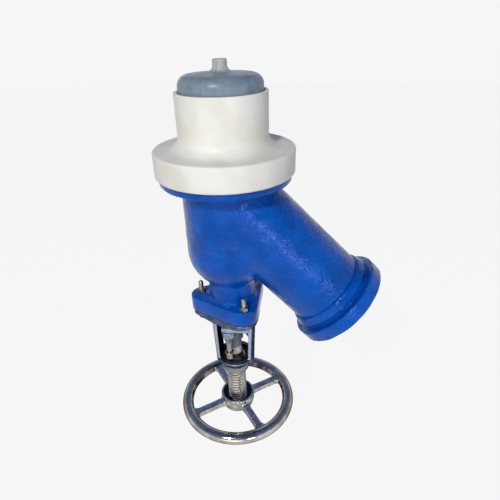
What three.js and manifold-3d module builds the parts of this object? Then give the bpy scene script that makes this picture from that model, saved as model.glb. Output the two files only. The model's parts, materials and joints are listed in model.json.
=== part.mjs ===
// A lined tank-bottom outlet valve with a rising plug, 4 in tank nozzle and 3 in outlet.
// Millimetres, +Z up. The origin is on the valve's axis, in the face that seals against the tank nozzle.
// The plug stands in the mouth of a white sleeve that fills the nozzle. Below the face a cast Y-shaped
// body turns the flow into a branch at +X, and a yoke under it carries the screw and the handwheel.

import * as THREE from 'three';
import { mergeVertices } from 'three/addons/utils/BufferGeometryUtils.js';
import Module from 'manifold-3d';

const wasm = await Module();
wasm.setup();

// Clearances, tool overruns and facet counts that every piece shares
const seatGap = 0.3;
const overrun = 4;
const weldDistance = 0.0001;
const castFacets = 32;
const linerFacets = 24;
const turnedFacets = 32;
const smallFacets = 16;
const wheelFacets = 40;
const wheelTubeFacets = 8;
const boltFacets = 10;
const hexSides = 6;

// Flow passage: bore of the lined way, its lining and the cast wall around it
const boreDiameter = 80;
const linerWall = 4;
const castWall = 8;
const boreRadius = boreDiameter / 2;
const linerRadius = boreRadius + linerWall;
const cavityRadius = linerRadius + seatGap;
const bodyRadius = cavityRadius + castWall;

// White sleeve: a spigot up the tank nozzle on a thick flange
const spigotDiameter = 100.6;
const spigotHeight = 59;
const sleeveFlangeDiameter = 160;
const sleeveFlangeThickness = 28.6;
const sleeveRootFillet = 15;
const sleeveRimRound = 2.5;
const mouthLip = 3.6;
const mouthDepth = 13;
const lipRound = 0.8;
const spigotRadius = spigotDiameter / 2;
const sleeveFlangeRadius = sleeveFlangeDiameter / 2;
const mouthRadius = spigotRadius - mouthLip;
const mouthFloorZ = spigotHeight - mouthDepth;
const sleeveBottomZ = -sleeveFlangeThickness;

// Plug: a domed disc with a moulding stub, resting on a conical seat ring
const plugSideGap = 1.2;
const plugDomeRise = 18.4;
const plugShoulder = 11;
const plugCrownDrop = 1.8;
const plugStubRadius = 7.7;
const plugStubHeight = 12.2;
const plugStubFillet = 6.5;
const plugStubRound = 1.2;
const plugSkirtDrop = 2;
const plugConeDrop = 7;
const plugHubRadius = 15;
const plugHubDepth = 15;
const plugSocketDepth = 24;
const seatRingWall = 6.4;
const seatRingFlat = 1;
const plugRadius = mouthRadius - plugSideGap;
const plugTopZ = spigotHeight + plugDomeRise;
const plugSkirtZ = spigotHeight - plugSkirtDrop;
const plugConeZ = plugSkirtZ - plugConeDrop;
const plugConeRadius = plugRadius - plugConeDrop;
const plugHubZ = plugConeZ - plugHubDepth;

// Body casting: collar under the sleeve, barrel, round bulb, neck and three-cornered foot
const collarDiameter = 152.4;
const collarThickness = 7.8;
const collarRound = 1.5;
const collarFillet = 4;
const bulbDepth = 97;
const neckDiameter = 60;
const neckBulbFillet = 3;
const neckFootFillet = 4;
const neckBore = 40;
const footDrop = 72.1;
const footThickness = 21;
const footRound = 2;
const studCircleRadius = 42;
const footCornerRadius = 11.4;
const footSideReach = 36.8;
const footCorners = 3;
const collarRadius = collarDiameter / 2;
const collarTopZ = sleeveBottomZ - seatGap;
const collarBottomZ = collarTopZ - collarThickness;
const bulbZ = collarTopZ - bulbDepth;
const neckRadius = neckDiameter / 2;
const neckBoreRadius = neckBore / 2;
const footZ = bulbZ - footDrop;
const footBottomZ = footZ - footThickness;

// Branch: its axis leaves the valve's axis at branchZ and falls away at branchAngle from the vertical
const branchDrop = 29.1;
const branchAngle = THREE.MathUtils.degToRad(45);
const branchRadius = 50.9;
const branchHubStart = 172;
const branchHubEnd = 181;
const branchHubRadius = 57;
const branchHubRound = 2.5;
const branchGrooveRadius = 54.5;
const outletCollarStart = 185;
const outletCollarDiameter = 127;
const outletCollarThickness = 17.8;
const outletCollarRound = 1.5;
const outletFlareRadius = 55;
const flareThickness = 3;
const topFlareRadius = 64;
const branchZ = collarTopZ - branchDrop;
const outletCollarRadius = outletCollarDiameter / 2;
const outletFaceAt = outletCollarStart + outletCollarThickness;

// Stem and its guide in the neck
const coatedStemRadius = 9.5;
const coatedStemEndLift = 17;
const bareStemRadius = 7.5;
const stemTailPlay = 2;
const stemGrooveRadius = 5.8;
const stemGrooveLift = 8;
const stemGrooveHeight = 4.4;
const stemTipChamfer = 1.5;
const guideLength = 26;
const guideRebate = 6;

// Bonnet: flange, stuffing box, two arms and the bowl that holds the screw's bush
const gasketThickness = 1.5;
const bonnetFlangeThickness = 6;
const bonnetInset = 2.5;
const boxCollarDrop = 12.4;
const boxCollarThickness = 8;
const boxCollarWidth = 38;
const boxCollarLength = 52;
const boxCollarCorner = 3;
const boxCollarTurn = THREE.MathUtils.degToRad(7);
const armWidth = 27.6;
const armTopRadius = 29.8;
const armBottomRadius = 27.4;
const armShoulderDrop = 18;
const armFlareReach = 48;
const windowTopHalf = 21.6;
const windowBottomHalf = 19.6;
const windowCorner = 4;
const windowTopFillet = 3;
const windowHeight = 61.5;
const bowlDepth = 7;
const bowlCavityRadius = 21.5;
const bowlTaperHeight = 15;
const bossRadius = 18.6;
const bossLength = 26;
const bonnetTopZ = footBottomZ - seatGap - gasketThickness - seatGap;
const bonnetFlangeZ = bonnetTopZ - bonnetFlangeThickness;
const boxCollarTopZ = bonnetFlangeZ - boxCollarDrop;
const boxEndZ = boxCollarTopZ - boxCollarThickness;
const bowlRimZ = boxCollarTopZ - windowHeight;
const bossEndZ = bowlRimZ - bossLength;
const coatedStemEndZ = bowlRimZ + coatedStemEndLift;
const bowlFloorZ = bowlRimZ - bowlDepth;

// Stem packing and gland
const packingWall = 4.8;
const packingRings = 4;
const packingRingHeight = 5;
const packingStartDrop = 3;
const glandStandOff = 1.2;
const glandPlateThickness = 5;
const glandPlateHalfWidth = 15.2;
const glandWebWidth = 8;
const glandStudRadius = 2.5;
const glandStudCircle = 22.6;
const glandTurn = THREE.MathUtils.degToRad(-10);
const glandEarRadius = 7.4;
const glandEarTipRadius = 4.5;
const glandEarHeight = 11;
const glandSpacerWall = 0.9;
const glandSpacerLength = 14.2;
const glandWasherRadius = 6.2;
const glandWasherThickness = 1.5;
const glandNutAcross = 8;
const glandNutHeight = 4.7;
const glandStudPlay = 1.6;
const glandStudDepth = 7;
const packingInnerRadius = coatedStemRadius + seatGap;
const packingOuterRadius = packingInnerRadius + packingWall;
const stuffingRadius = packingOuterRadius + seatGap;
const packingTopZ = bonnetTopZ - packingStartDrop;
const packingBottomZ = packingTopZ - packingRings * (packingRingHeight + seatGap);
const glandPlateTopZ = boxEndZ - glandStandOff;
const glandPlateBottomZ = glandPlateTopZ - glandPlateThickness;
const glandEarTipZ = glandPlateBottomZ - glandEarHeight;

// Bush in the bowl and the screw that turns in it
const screwDiameter = 27;
const screwRunGap = 0.3;
const bushWall = 2.2;
const bushFlangeRadius = 19.4;
const bushFlangeThickness = 3.4;
const grubRadius = 2;
const grubLift = 8;
const screwTopDrop = 1.5;
const screwSocketDepth = 22.5;
const screwSocketGap = 0.3;
const screwEndChamfer = 1.2;
const pinRadius = 1.8;
const pinLength = 9;
const screwRadius = screwDiameter / 2;
const grubZ = bossEndZ + grubLift;
const screwTopZ = bowlRimZ - screwTopDrop;
const stemTailZ = screwTopZ - screwSocketDepth + stemTailPlay;
const stemGrooveZ = stemTailZ + stemGrooveLift;
const bushBoreRadius = screwRadius + screwRunGap;
const bushRadius = bushBoreRadius + bushWall;
const bossBoreRadius = bushRadius + seatGap;

// Handwheel with its square drive, washer and nut
const wheelDiameter = 170;
const wheelRimRadius = 8.1;
const wheelDrop = 11.7;
const wheelTurn = THREE.MathUtils.degToRad(36);
const wheelSpokes = 4;
const spokeWidth = 10.5;
const spokeDepth = 9;
const spokeFlare = 5;
const hubRadius = 25;
const hubWall = 3.2;
const screwShowing = 51;
const hubHeight = 21.3;
const hubRecess = 9.2;
const hubEdgeRound = 1;
const hubSkirtRadius = 22.6;
const driveSquare = 15;
const wheelWasherRadius = 12.5;
const wheelWasherThickness = 2;
const wheelNutAcross = 19;
const wheelNutHeight = 9;
const wheelThreadRadius = 6;
const wheelThreadPlay = 2;
const wheelRingRadius = wheelDiameter / 2 - wheelRimRadius;
const hubTopZ = bossEndZ - screwShowing;
const wheelZ = hubTopZ - wheelDrop;
const hubFloorZ = hubTopZ - hubRecess;
const hubBottomZ = hubTopZ - hubHeight;
const wheelWasherTopZ = hubBottomZ - seatGap;

// Studs and nuts that hold the bonnet to the foot
const studRadius = 3;
const studStandOut = 17.8;
const studDome = 1.2;
const studNutAcross = 10;
const studNutHeight = 5.2;

// Finishes, as the photograph shows them
const bluePaint = new THREE.MeshStandardMaterial({ color: 0x0f4fb4, roughness: 0.35, metalness: 0.1 });
const whitePolymer = new THREE.MeshStandardMaterial({ color: 0xe6e6e0, roughness: 0.45, metalness: 0 });
const greyPolymer = new THREE.MeshStandardMaterial({ color: 0x7c8ea3, roughness: 0.4, metalness: 0 });
const polishedSteel = new THREE.MeshStandardMaterial({ color: 0xb9bcc2, roughness: 0.12, metalness: 1 });
const castSteel = new THREE.MeshStandardMaterial({ color: 0x9aa3b4, roughness: 0.38, metalness: 0.9 });
const turnedSteel = new THREE.MeshStandardMaterial({ color: 0xaaa596, roughness: 0.3, metalness: 1 });
const bronze = new THREE.MeshStandardMaterial({ color: 0x9a6b3c, roughness: 0.4, metalness: 1 });
const gasketFibre = new THREE.MeshStandardMaterial({ color: 0x2a2c30, roughness: 0.9, metalness: 0 });

// Points of an arc about (centreR, centreZ), in degrees from the outward direction
function arc(centreR, centreZ, radius, fromDegrees, toDegrees, steps) {
  const points = [];
  for (let i = 0; i <= steps; i += 1) {
    const angle = THREE.MathUtils.degToRad(fromDegrees + ((toDegrees - fromDegrees) * i) / steps);
    points.push([centreR + radius * Math.cos(angle), centreZ + radius * Math.sin(angle)]);
  }
  return points;
}

// A profile of [radius, height] points turned about Z; one that misses the axis is closed on itself
function turned(points, facets) {
  const outline = points.map(([radius, height]) => new THREE.Vector2(radius, height));
  const onAxis = outline[0].x === 0 && outline[outline.length - 1].x === 0;
  if (!onAxis) outline.push(outline[0].clone());
  return new THREE.LatheGeometry(outline, facets).rotateX(Math.PI / 2);
}

// A plain disc or rod between two heights
function rod(radius, topZ, bottomZ, facets) {
  return turned([[0, topZ], [radius, topZ], [radius, bottomZ], [0, bottomZ]], facets);
}

// A ring of rectangular section between two heights
function ring(innerRadius, outerRadius, topZ, bottomZ, facets) {
  const section = [[innerRadius, topZ], [outerRadius, topZ], [outerRadius, bottomZ], [innerRadius, bottomZ]];
  return turned(section, facets);
}

// A flat shape raised to a plate whose top is at topZ
function plate(shape, thickness, topZ, round = 0, curveSegments = 4) {
  const geometry = new THREE.ExtrudeGeometry(shape, {
    depth: thickness - 2 * round,
    bevelEnabled: round > 0,
    bevelThickness: round,
    bevelSize: round,
    bevelOffset: -round,
    bevelSegments: 1,
    curveSegments,
  });
  return geometry.translate(0, 0, topZ - thickness + round);
}

// Twice the signed volume's sign says which way a closed mesh's triangles face
function facesOutward(position, index) {
  const [a, b, c] = [new THREE.Vector3(), new THREE.Vector3(), new THREE.Vector3()];
  let volume = 0;
  for (let i = 0; i < index.length; i += 3) {
    a.fromBufferAttribute(position, index[i]);
    b.fromBufferAttribute(position, index[i + 1]);
    c.fromBufferAttribute(position, index[i + 2]);
    volume += a.dot(b.cross(c));
  }
  return volume > 0;
}

// Welds a closed geometry and turns it into a solid that can be joined and cut
function toSolid(geometry) {
  const bare = geometry.clone();
  bare.deleteAttribute('normal');
  bare.deleteAttribute('uv');
  const welded = mergeVertices(bare, weldDistance);
  const index = welded.index.array;
  const triangles = [];
  for (let i = 0; i < index.length; i += 3) {
    const [p, q, r] = [index[i], index[i + 1], index[i + 2]];
    if (p !== q && q !== r && r !== p) triangles.push(p, q, r);
  }
  if (!facesOutward(welded.attributes.position, triangles)) triangles.reverse();
  const vertProperties = Float32Array.from(welded.attributes.position.array);
  const triVerts = Uint32Array.from(triangles);
  return new wasm.Manifold(new wasm.Mesh({ numProp: 3, vertProperties, triVerts }));
}

// Joins all the added geometries and then cuts all the removed ones out of them
function carve(added, removed = []) {
  let solid = added.map(toSolid).reduce((whole, next) => whole.add(next));
  for (const tool of removed) solid = solid.subtract(toSolid(tool));
  return solid;
}

function toGeometry(solid) {
  const { vertProperties, triVerts } = solid.getMesh();
  const geometry = new THREE.BufferGeometry();
  geometry.setAttribute('position', new THREE.BufferAttribute(Float32Array.from(vertProperties), 3));
  geometry.setIndex(new THREE.BufferAttribute(Uint32Array.from(triVerts), 1));
  geometry.computeVertexNormals();
  return geometry;
}

function named(name, solid, material) {
  const mesh = new THREE.Mesh(toGeometry(solid), material);
  mesh.name = name;
  return mesh;
}

// Moves a branch piece, drawn along +Z from the branch's start, to its place in the valve
function onBranch(geometry) {
  return geometry.rotateY(Math.PI - branchAngle).translate(0, 0, branchZ);
}

// A triangle with round corners, one at -X, and bulging sides, as the foot and the bonnet flange have
function threeCorneredShape(inset) {
  const shape = new THREE.Shape();
  const cornerRadius = footCornerRadius - inset;
  const sideReach = footSideReach - inset;
  const halfTurn = Math.PI / footCorners;
  const flat = sideReach - cornerRadius;
  const cornerAcross = studCircleRadius * Math.cos(halfTurn);
  const cornerAlong = studCircleRadius * Math.sin(halfTurn);
  // The side's arc is centred behind the axis so that it runs into both corner arcs
  const setBack = (studCircleRadius ** 2 - flat ** 2) / (2 * (flat - cornerAcross));
  const sideTurn = Math.atan2(cornerAlong, setBack + cornerAcross);
  for (let i = 0; i < footCorners; i += 1) {
    const angle = Math.PI + 2 * i * halfTurn;
    const x = studCircleRadius * Math.cos(angle);
    const y = studCircleRadius * Math.sin(angle);
    const cornerTurn = halfTurn - sideTurn;
    shape.absarc(x, y, cornerRadius, angle - cornerTurn, angle + cornerTurn, false);
    const side = angle + halfTurn;
    const sideRadius = setBack + sideReach;
    const [sideX, sideY] = [-setBack * Math.cos(side), -setBack * Math.sin(side)];
    shape.absarc(sideX, sideY, sideRadius, side - sideTurn, side + sideTurn, false);
  }
  return shape;
}

// Calls make(x, y, angle) for each stud of the bonnet
function atStuds(make) {
  return Array.from({ length: footCorners }, (_, i) => {
    const angle = Math.PI + (i * Math.PI * 2) / footCorners;
    return make(studCircleRadius * Math.cos(angle), studCircleRadius * Math.sin(angle), angle);
  });
}

// Calls make(x, y) for the front and the back gland stud
function atGlandStuds(make) {
  return [-1, 1].map((side) => {
    const x = -side * glandStudCircle * Math.sin(glandTurn);
    const y = side * glandStudCircle * Math.cos(glandTurn);
    return make(x, y);
  });
}

function rectangleShape(halfX, halfY, corner) {
  const shape = new THREE.Shape();
  shape.absarc(halfX - corner, halfY - corner, corner, 0, Math.PI / 2, false);
  shape.absarc(corner - halfX, halfY - corner, corner, Math.PI / 2, Math.PI, false);
  shape.absarc(corner - halfX, corner - halfY, corner, Math.PI, Math.PI * 1.5, false);
  shape.absarc(halfX - corner, corner - halfY, corner, Math.PI * 1.5, Math.PI * 2, false);
  return shape;
}

// A hexagon nut or head with its size across flats, bored if boreRadius is over zero
function hexagon(acrossFlats, topZ, height, holeRadius, x, y) {
  const cornerRadius = acrossFlats / 2 / Math.cos(Math.PI / hexSides);
  const outer = rod(cornerRadius, topZ, topZ - height, hexSides).translate(x, y, 0);
  const hole = rod(holeRadius, topZ + overrun, topZ - height - overrun, boltFacets).translate(x, y, 0);
  return carve([outer], [hole]);
}

// Sleeve: flange with a rounded rim, a wide root fillet, the spigot and a counterbored mouth
function nozzleSleeve() {
  const rim = sleeveRimRound;
  const root = sleeveRootFillet;
  const profile = [
    [boreRadius, sleeveBottomZ],
    ...arc(sleeveFlangeRadius - rim, sleeveBottomZ + rim, rim, -90, 0, 2),
    ...arc(sleeveFlangeRadius - rim, -rim, rim, 0, 90, 2),
    ...arc(spigotRadius + root, root, root, 270, 180, 5),
    ...arc(spigotRadius - lipRound, spigotHeight - lipRound, lipRound, 0, 90, 2),
    [mouthRadius, spigotHeight],
    [mouthRadius, mouthFloorZ],
    [boreRadius, mouthFloorZ],
  ];
  return toSolid(turned(profile, turnedFacets));
}

// Seat ring: its cone lies one seat gap off the plug's cone
function seatRing() {
  const outerRadius = mouthRadius - seatGap;
  const coneShift = seatGap * Math.SQRT2;
  const onCone = (radius) => plugConeZ + (radius - plugConeRadius - coneShift);
  const innerRadius = outerRadius - seatRingWall;
  const topRadius = outerRadius - seatRingFlat;
  const profile = [
    [innerRadius, mouthFloorZ + seatGap],
    [outerRadius, mouthFloorZ + seatGap],
    [outerRadius, onCone(topRadius)],
    [topRadius, onCone(topRadius)],
    [innerRadius, onCone(innerRadius)],
  ];
  return toSolid(turned(profile, turnedFacets));
}

// Plug: crowned top with a round shoulder, moulding stub, seating cone and a hub for the stem
function plugDisc() {
  const stubZ = plugTopZ + plugStubHeight;
  const crownEdge = plugRadius - plugShoulder;
  const profile = [
    [0, stubZ],
    ...arc(plugStubRadius - plugStubRound, stubZ - plugStubRound, plugStubRound, 90, 0, 1),
    ...arc(plugStubRadius + plugStubFillet, plugTopZ + plugStubFillet, plugStubFillet, 180, 270, 3),
    [crownEdge, plugTopZ - plugCrownDrop],
    ...arc(crownEdge, plugTopZ - plugCrownDrop - plugShoulder, plugShoulder, 80, 0, 5),
    [plugRadius, plugSkirtZ],
    [plugConeRadius, plugConeZ],
    [plugHubRadius, plugConeZ - plugHubDepth / 2],
    [plugHubRadius, plugHubZ],
    [coatedStemRadius + seatGap, plugHubZ],
    [coatedStemRadius + seatGap, plugHubZ + plugSocketDepth],
    [0, plugHubZ + plugSocketDepth],
  ];
  return toSolid(turned(profile, turnedFacets));
}

// Casting without its hollow: collar, barrel, bulb and neck about the valve's axis
function castTrunk() {
  const bulbTurn = THREE.MathUtils.radToDeg(Math.acos((neckRadius + neckBulbFillet) / bodyRadius));
  const bulbEndZ = bulbZ - Math.sqrt(bodyRadius ** 2 - (neckRadius + neckBulbFillet) ** 2);
  const fillet = collarFillet;
  return turned([
    [0, collarTopZ],
    ...arc(collarRadius - collarRound, collarTopZ - collarRound, collarRound, 90, 0, 1),
    ...arc(collarRadius - collarRound, collarBottomZ + collarRound, collarRound, 0, -90, 1),
    ...arc(bodyRadius + fillet, collarBottomZ - fillet, fillet, 90, 180, 2),
    ...arc(0, bulbZ, bodyRadius, 0, -bulbTurn, 5),
    ...arc(neckRadius + neckBulbFillet, bulbEndZ - neckBulbFillet, neckBulbFillet, 120, 180, 2),
    ...arc(neckRadius + neckFootFillet, footZ + neckFootFillet, neckFootFillet, 180, 270, 2),
    [neckRadius + neckFootFillet, footBottomZ + footRound],
    [0, footBottomZ + footRound],
  ], castFacets);
}

// Casting's branch: pipe, raised hub, groove for a split flange and the outlet collar
function castBranch() {
  const collarEdge = outletCollarRadius - outletCollarRound;
  const hubEdge = branchHubRadius - branchHubRound;
  const profile = [
    [0, 0],
    [branchRadius, 0],
    [branchRadius, branchHubStart - branchHubRound],
    ...arc(hubEdge, branchHubStart + branchHubRound, branchHubRound, -60, 0, 1),
    ...arc(hubEdge, branchHubEnd - branchHubRound, branchHubRound, 0, 90, 1),
    [branchGrooveRadius, branchHubEnd],
    [branchGrooveRadius, outletCollarStart],
    ...arc(collarEdge, outletCollarStart + outletCollarRound, outletCollarRound, -90, 0, 1),
    ...arc(collarEdge, outletFaceAt - outletCollarRound, outletCollarRound, 0, 90, 1),
    [0, outletFaceAt],
  ];
  return onBranch(turned(profile, castFacets));
}

// The space inside a body of the given radius: main way, round end, branch way and neck
function waySolids(radius, neckWayRadius, topZ, branchEnd, neckEndZ, facets) {
  const main = turned([
    [0, topZ],
    [radius, topZ],
    ...arc(0, bulbZ, radius, 0, -90, 4).slice(0, -1),
    [0, bulbZ - radius],
  ], facets);
  const branch = onBranch(rod(radius, branchEnd, 0, facets));
  const neck = rod(neckWayRadius, bulbZ, neckEndZ, smallFacets);
  return [main, branch, neck];
}

// The casting: trunk, branch and foot, hollowed, with a recess for the lining's top flare
function bodyCasting() {
  const foot = plate(threeCorneredShape(0), footThickness, footZ, footRound);
  const aboveCollar = rod(outletCollarRadius * 2, collarTopZ + bodyRadius * 2, collarTopZ, castFacets);
  const branch = toSolid(castBranch()).subtract(toSolid(aboveCollar));
  let solid = carve([castTrunk(), foot]).add(branch);
  const ways = waySolids(
    cavityRadius,
    neckBoreRadius,
    collarTopZ + overrun,
    outletFaceAt + overrun,
    footBottomZ - overrun,
    linerFacets,
  );
  const flareRecess = rod(topFlareRadius + seatGap, collarTopZ + overrun, collarTopZ - flareThickness, linerFacets);
  const studHoles = atStuds((x, y) => (
    rod(studRadius + seatGap, footZ + overrun, footBottomZ - overrun, boltFacets).translate(x, y, 0)
  ));
  for (const tool of [...ways, flareRecess, ...studHoles]) solid = solid.subtract(toSolid(tool));
  return solid;
}

// Lining: a thin copy of the ways inside the casting, turned out over both end faces
function bodyLiner() {
  const flareTopZ = collarTopZ;
  const flareBottomZ = flareTopZ - flareThickness + seatGap;
  const outer = waySolids(
    linerRadius,
    neckBoreRadius - seatGap,
    flareTopZ,
    outletFaceAt + seatGap + flareThickness,
    footBottomZ + guideRebate,
    linerFacets,
  );
  const topFlare = rod(topFlareRadius, flareTopZ, flareBottomZ, linerFacets);
  const outletFlare = onBranch(
    rod(outletFlareRadius, outletFaceAt + seatGap + flareThickness, outletFaceAt + seatGap, castFacets),
  );
  const inner = waySolids(
    boreRadius,
    neckBoreRadius - seatGap - linerWall,
    flareTopZ + overrun,
    outletFaceAt + flareThickness + overrun,
    footBottomZ - overrun,
    linerFacets,
  );
  const aboveFlare = rod(outletCollarRadius * 2, collarTopZ + bodyRadius * 2, flareTopZ, castFacets);
  return carve([...outer, topFlare, outletFlare], [...inner, aboveFlare]);
}

// Stem guide: a plain polymer bush with a shoulder under the neck's lining
function stemGuide() {
  const bodyRadiusOfGuide = neckBoreRadius - seatGap - linerWall - seatGap;
  const shoulderRadius = neckBoreRadius - seatGap;
  const shoulderTopZ = footBottomZ + guideRebate - seatGap;
  return toSolid(turned([
    [coatedStemRadius + seatGap, shoulderTopZ + guideLength],
    [bodyRadiusOfGuide, shoulderTopZ + guideLength],
    [bodyRadiusOfGuide, shoulderTopZ],
    [shoulderRadius, shoulderTopZ],
    [shoulderRadius, footBottomZ],
    [coatedStemRadius + seatGap, footBottomZ],
  ], smallFacets));
}

// Stem: coated down to the yoke's window, bare below, with a groove for the retaining pins
function plugStem() {
  const grooveTopZ = stemGrooveZ + stemGrooveHeight / 2;
  const grooveBottomZ = stemGrooveZ - stemGrooveHeight / 2;
  const topZ = plugHubZ + plugSocketDepth - seatGap;
  return toSolid(turned([
    [0, topZ],
    [coatedStemRadius, topZ],
    [coatedStemRadius, coatedStemEndZ],
    [bareStemRadius, coatedStemEndZ],
    [bareStemRadius, grooveTopZ],
    [stemGrooveRadius, grooveTopZ],
    [stemGrooveRadius, grooveBottomZ],
    [bareStemRadius, grooveBottomZ],
    [bareStemRadius, stemTailZ + stemTipChamfer],
    [bareStemRadius - stemTipChamfer, stemTailZ],
    [0, stemTailZ],
  ], smallFacets));
}

function bonnetGasket() {
  const topZ = footBottomZ - seatGap;
  const sheet = plate(threeCorneredShape(footRound), gasketThickness, topZ);
  const hole = rod(stuffingRadius, topZ + overrun, topZ - gasketThickness - overrun, smallFacets);
  const studHoles = atStuds((x, y) => (
    rod(studRadius + seatGap, topZ + overrun, topZ - gasketThickness - overrun, boltFacets).translate(x, y, 0)
  ));
  return carve([sheet], [hole, ...studHoles]);
}

// The bonnet's outside about the axis: a hollow flare under the flange that runs down into the arms
function bonnetEnvelope(bottomZ) {
  const flare = [];
  const flareSteps = 4;
  for (let i = 0; i < flareSteps; i += 1) {
    const share = i / flareSteps;
    const spread = (armFlareReach - armTopRadius) * (1 - share) ** 3;
    flare.push([armTopRadius + spread, bonnetFlangeZ - armShoulderDrop * share]);
  }
  return toSolid(turned([
    [0, bonnetFlangeZ + overrun],
    [armFlareReach, bonnetFlangeZ + overrun],
    ...flare,
    [armTopRadius, bonnetFlangeZ - armShoulderDrop],
    [armBottomRadius, bowlRimZ],
    [armBottomRadius, bottomZ],
    [0, bottomZ],
  ], castFacets));
}

// The arms as a slab across the valve with the window through it
function bonnetArms() {
  const slab = new THREE.Shape();
  slab.moveTo(-armFlareReach, bonnetFlangeZ);
  slab.lineTo(armFlareReach, bonnetFlangeZ);
  slab.lineTo(armFlareReach, bowlFloorZ);
  slab.lineTo(-armFlareReach, bowlFloorZ);
  slab.closePath();
  const window = new THREE.Path();
  window.moveTo(-windowTopHalf, boxCollarTopZ - windowTopFillet);
  window.lineTo(-windowBottomHalf, bowlRimZ + windowCorner);
  window.quadraticCurveTo(-windowBottomHalf, bowlRimZ, windowCorner - windowBottomHalf, bowlRimZ);
  window.lineTo(windowBottomHalf - windowCorner, bowlRimZ);
  window.quadraticCurveTo(windowBottomHalf, bowlRimZ, windowBottomHalf, bowlRimZ + windowCorner);
  window.lineTo(windowTopHalf, boxCollarTopZ - windowTopFillet);
  window.quadraticCurveTo(windowTopHalf, boxCollarTopZ, windowTopHalf - windowTopFillet, boxCollarTopZ);
  window.lineTo(windowTopFillet - windowTopHalf, boxCollarTopZ);
  window.quadraticCurveTo(-windowTopHalf, boxCollarTopZ, -windowTopHalf, boxCollarTopZ - windowTopFillet);
  slab.holes.push(window);
  const slabGeometry = new THREE.ExtrudeGeometry(slab, { depth: armWidth, bevelEnabled: false, curveSegments: 3 });
  slabGeometry.rotateX(Math.PI / 2).translate(0, armWidth / 2, 0);
  return toSolid(slabGeometry);
}

// Bonnet casting: flange, flared body over the stuffing box, square collar, arms, bowl and boss
function bonnet() {
  const flange = plate(threeCorneredShape(bonnetInset), bonnetFlangeThickness, bonnetTopZ);
  const underFlange = toSolid(plate(threeCorneredShape(bonnetInset), bonnetTopZ - bossEndZ, bonnetTopZ));
  const shoulder = toSolid(rod(armFlareReach, bonnetFlangeZ, boxCollarTopZ, castFacets));
  const envelope = bonnetEnvelope(bowlFloorZ - overrun).intersect(underFlange);
  const flared = shoulder.add(bonnetArms()).intersect(envelope);
  const collarShape = rectangleShape(boxCollarWidth / 2, boxCollarLength / 2, boxCollarCorner);
  const boxCollar = plate(collarShape, boxCollarThickness + seatGap, boxCollarTopZ + seatGap, 0, 3);
  boxCollar.rotateZ(boxCollarTurn);
  const bowl = turned([
    [0, bowlRimZ],
    [armBottomRadius, bowlRimZ],
    ...arc(bossRadius, bowlRimZ, armBottomRadius - bossRadius, -20, -60, 2),
    [bossRadius, bowlRimZ - bowlTaperHeight],
    [bossRadius, bossEndZ],
    [0, bossEndZ],
  ], castFacets);
  const stuffing = rod(stuffingRadius, packingTopZ + seatGap, boxEndZ - overrun, smallFacets);
  const stemWay = rod(coatedStemRadius + seatGap, bonnetTopZ + overrun, packingTopZ, smallFacets);
  const cavity = rod(bowlCavityRadius, bowlRimZ + overrun, bowlFloorZ, castFacets);
  const bushHole = rod(bossBoreRadius, bowlFloorZ + overrun, bossEndZ - overrun, smallFacets);
  const studHoles = atStuds((x, y) => (
    rod(studRadius + seatGap, bonnetTopZ + overrun, bonnetFlangeZ - overrun, boltFacets).translate(x, y, 0)
  ));
  const glandHoles = atGlandStuds((x, y) => (
    rod(glandStudRadius + seatGap, boxEndZ + glandStudDepth, boxEndZ - overrun, boltFacets).translate(x, y, 0)
  ));
  const grubHole = rod(grubRadius + seatGap, bossRadius + overrun, 0, boltFacets);
  grubHole.rotateX(Math.PI / 2).translate(0, 0, grubZ);
  let solid = carve([flange, boxCollar, bowl]).add(flared);
  const cuts = [stuffing, stemWay, cavity, bushHole, grubHole, ...studHoles, ...glandHoles];
  for (const tool of cuts) solid = solid.subtract(toSolid(tool));
  return solid;
}

// One packing ring with a shallow V top and bottom
function packingRing(place) {
  const topZ = packingTopZ - place * (packingRingHeight + seatGap);
  const bottomZ = topZ - packingRingHeight;
  const middle = (packingInnerRadius + packingOuterRadius) / 2;
  const vee = packingRingHeight / 4;
  const isFirst = place === 0;
  const isLast = place === packingRings - 1;
  const profile = [
    [packingInnerRadius, topZ - (isFirst ? 0 : vee)],
    [middle, topZ],
    [packingOuterRadius, topZ - (isFirst ? 0 : vee)],
    [packingOuterRadius, bottomZ - (isLast ? 0 : vee)],
    [middle, bottomZ],
    [packingInnerRadius, bottomZ - (isLast ? 0 : vee)],
  ];
  return toSolid(turned(profile, smallFacets));
}

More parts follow.
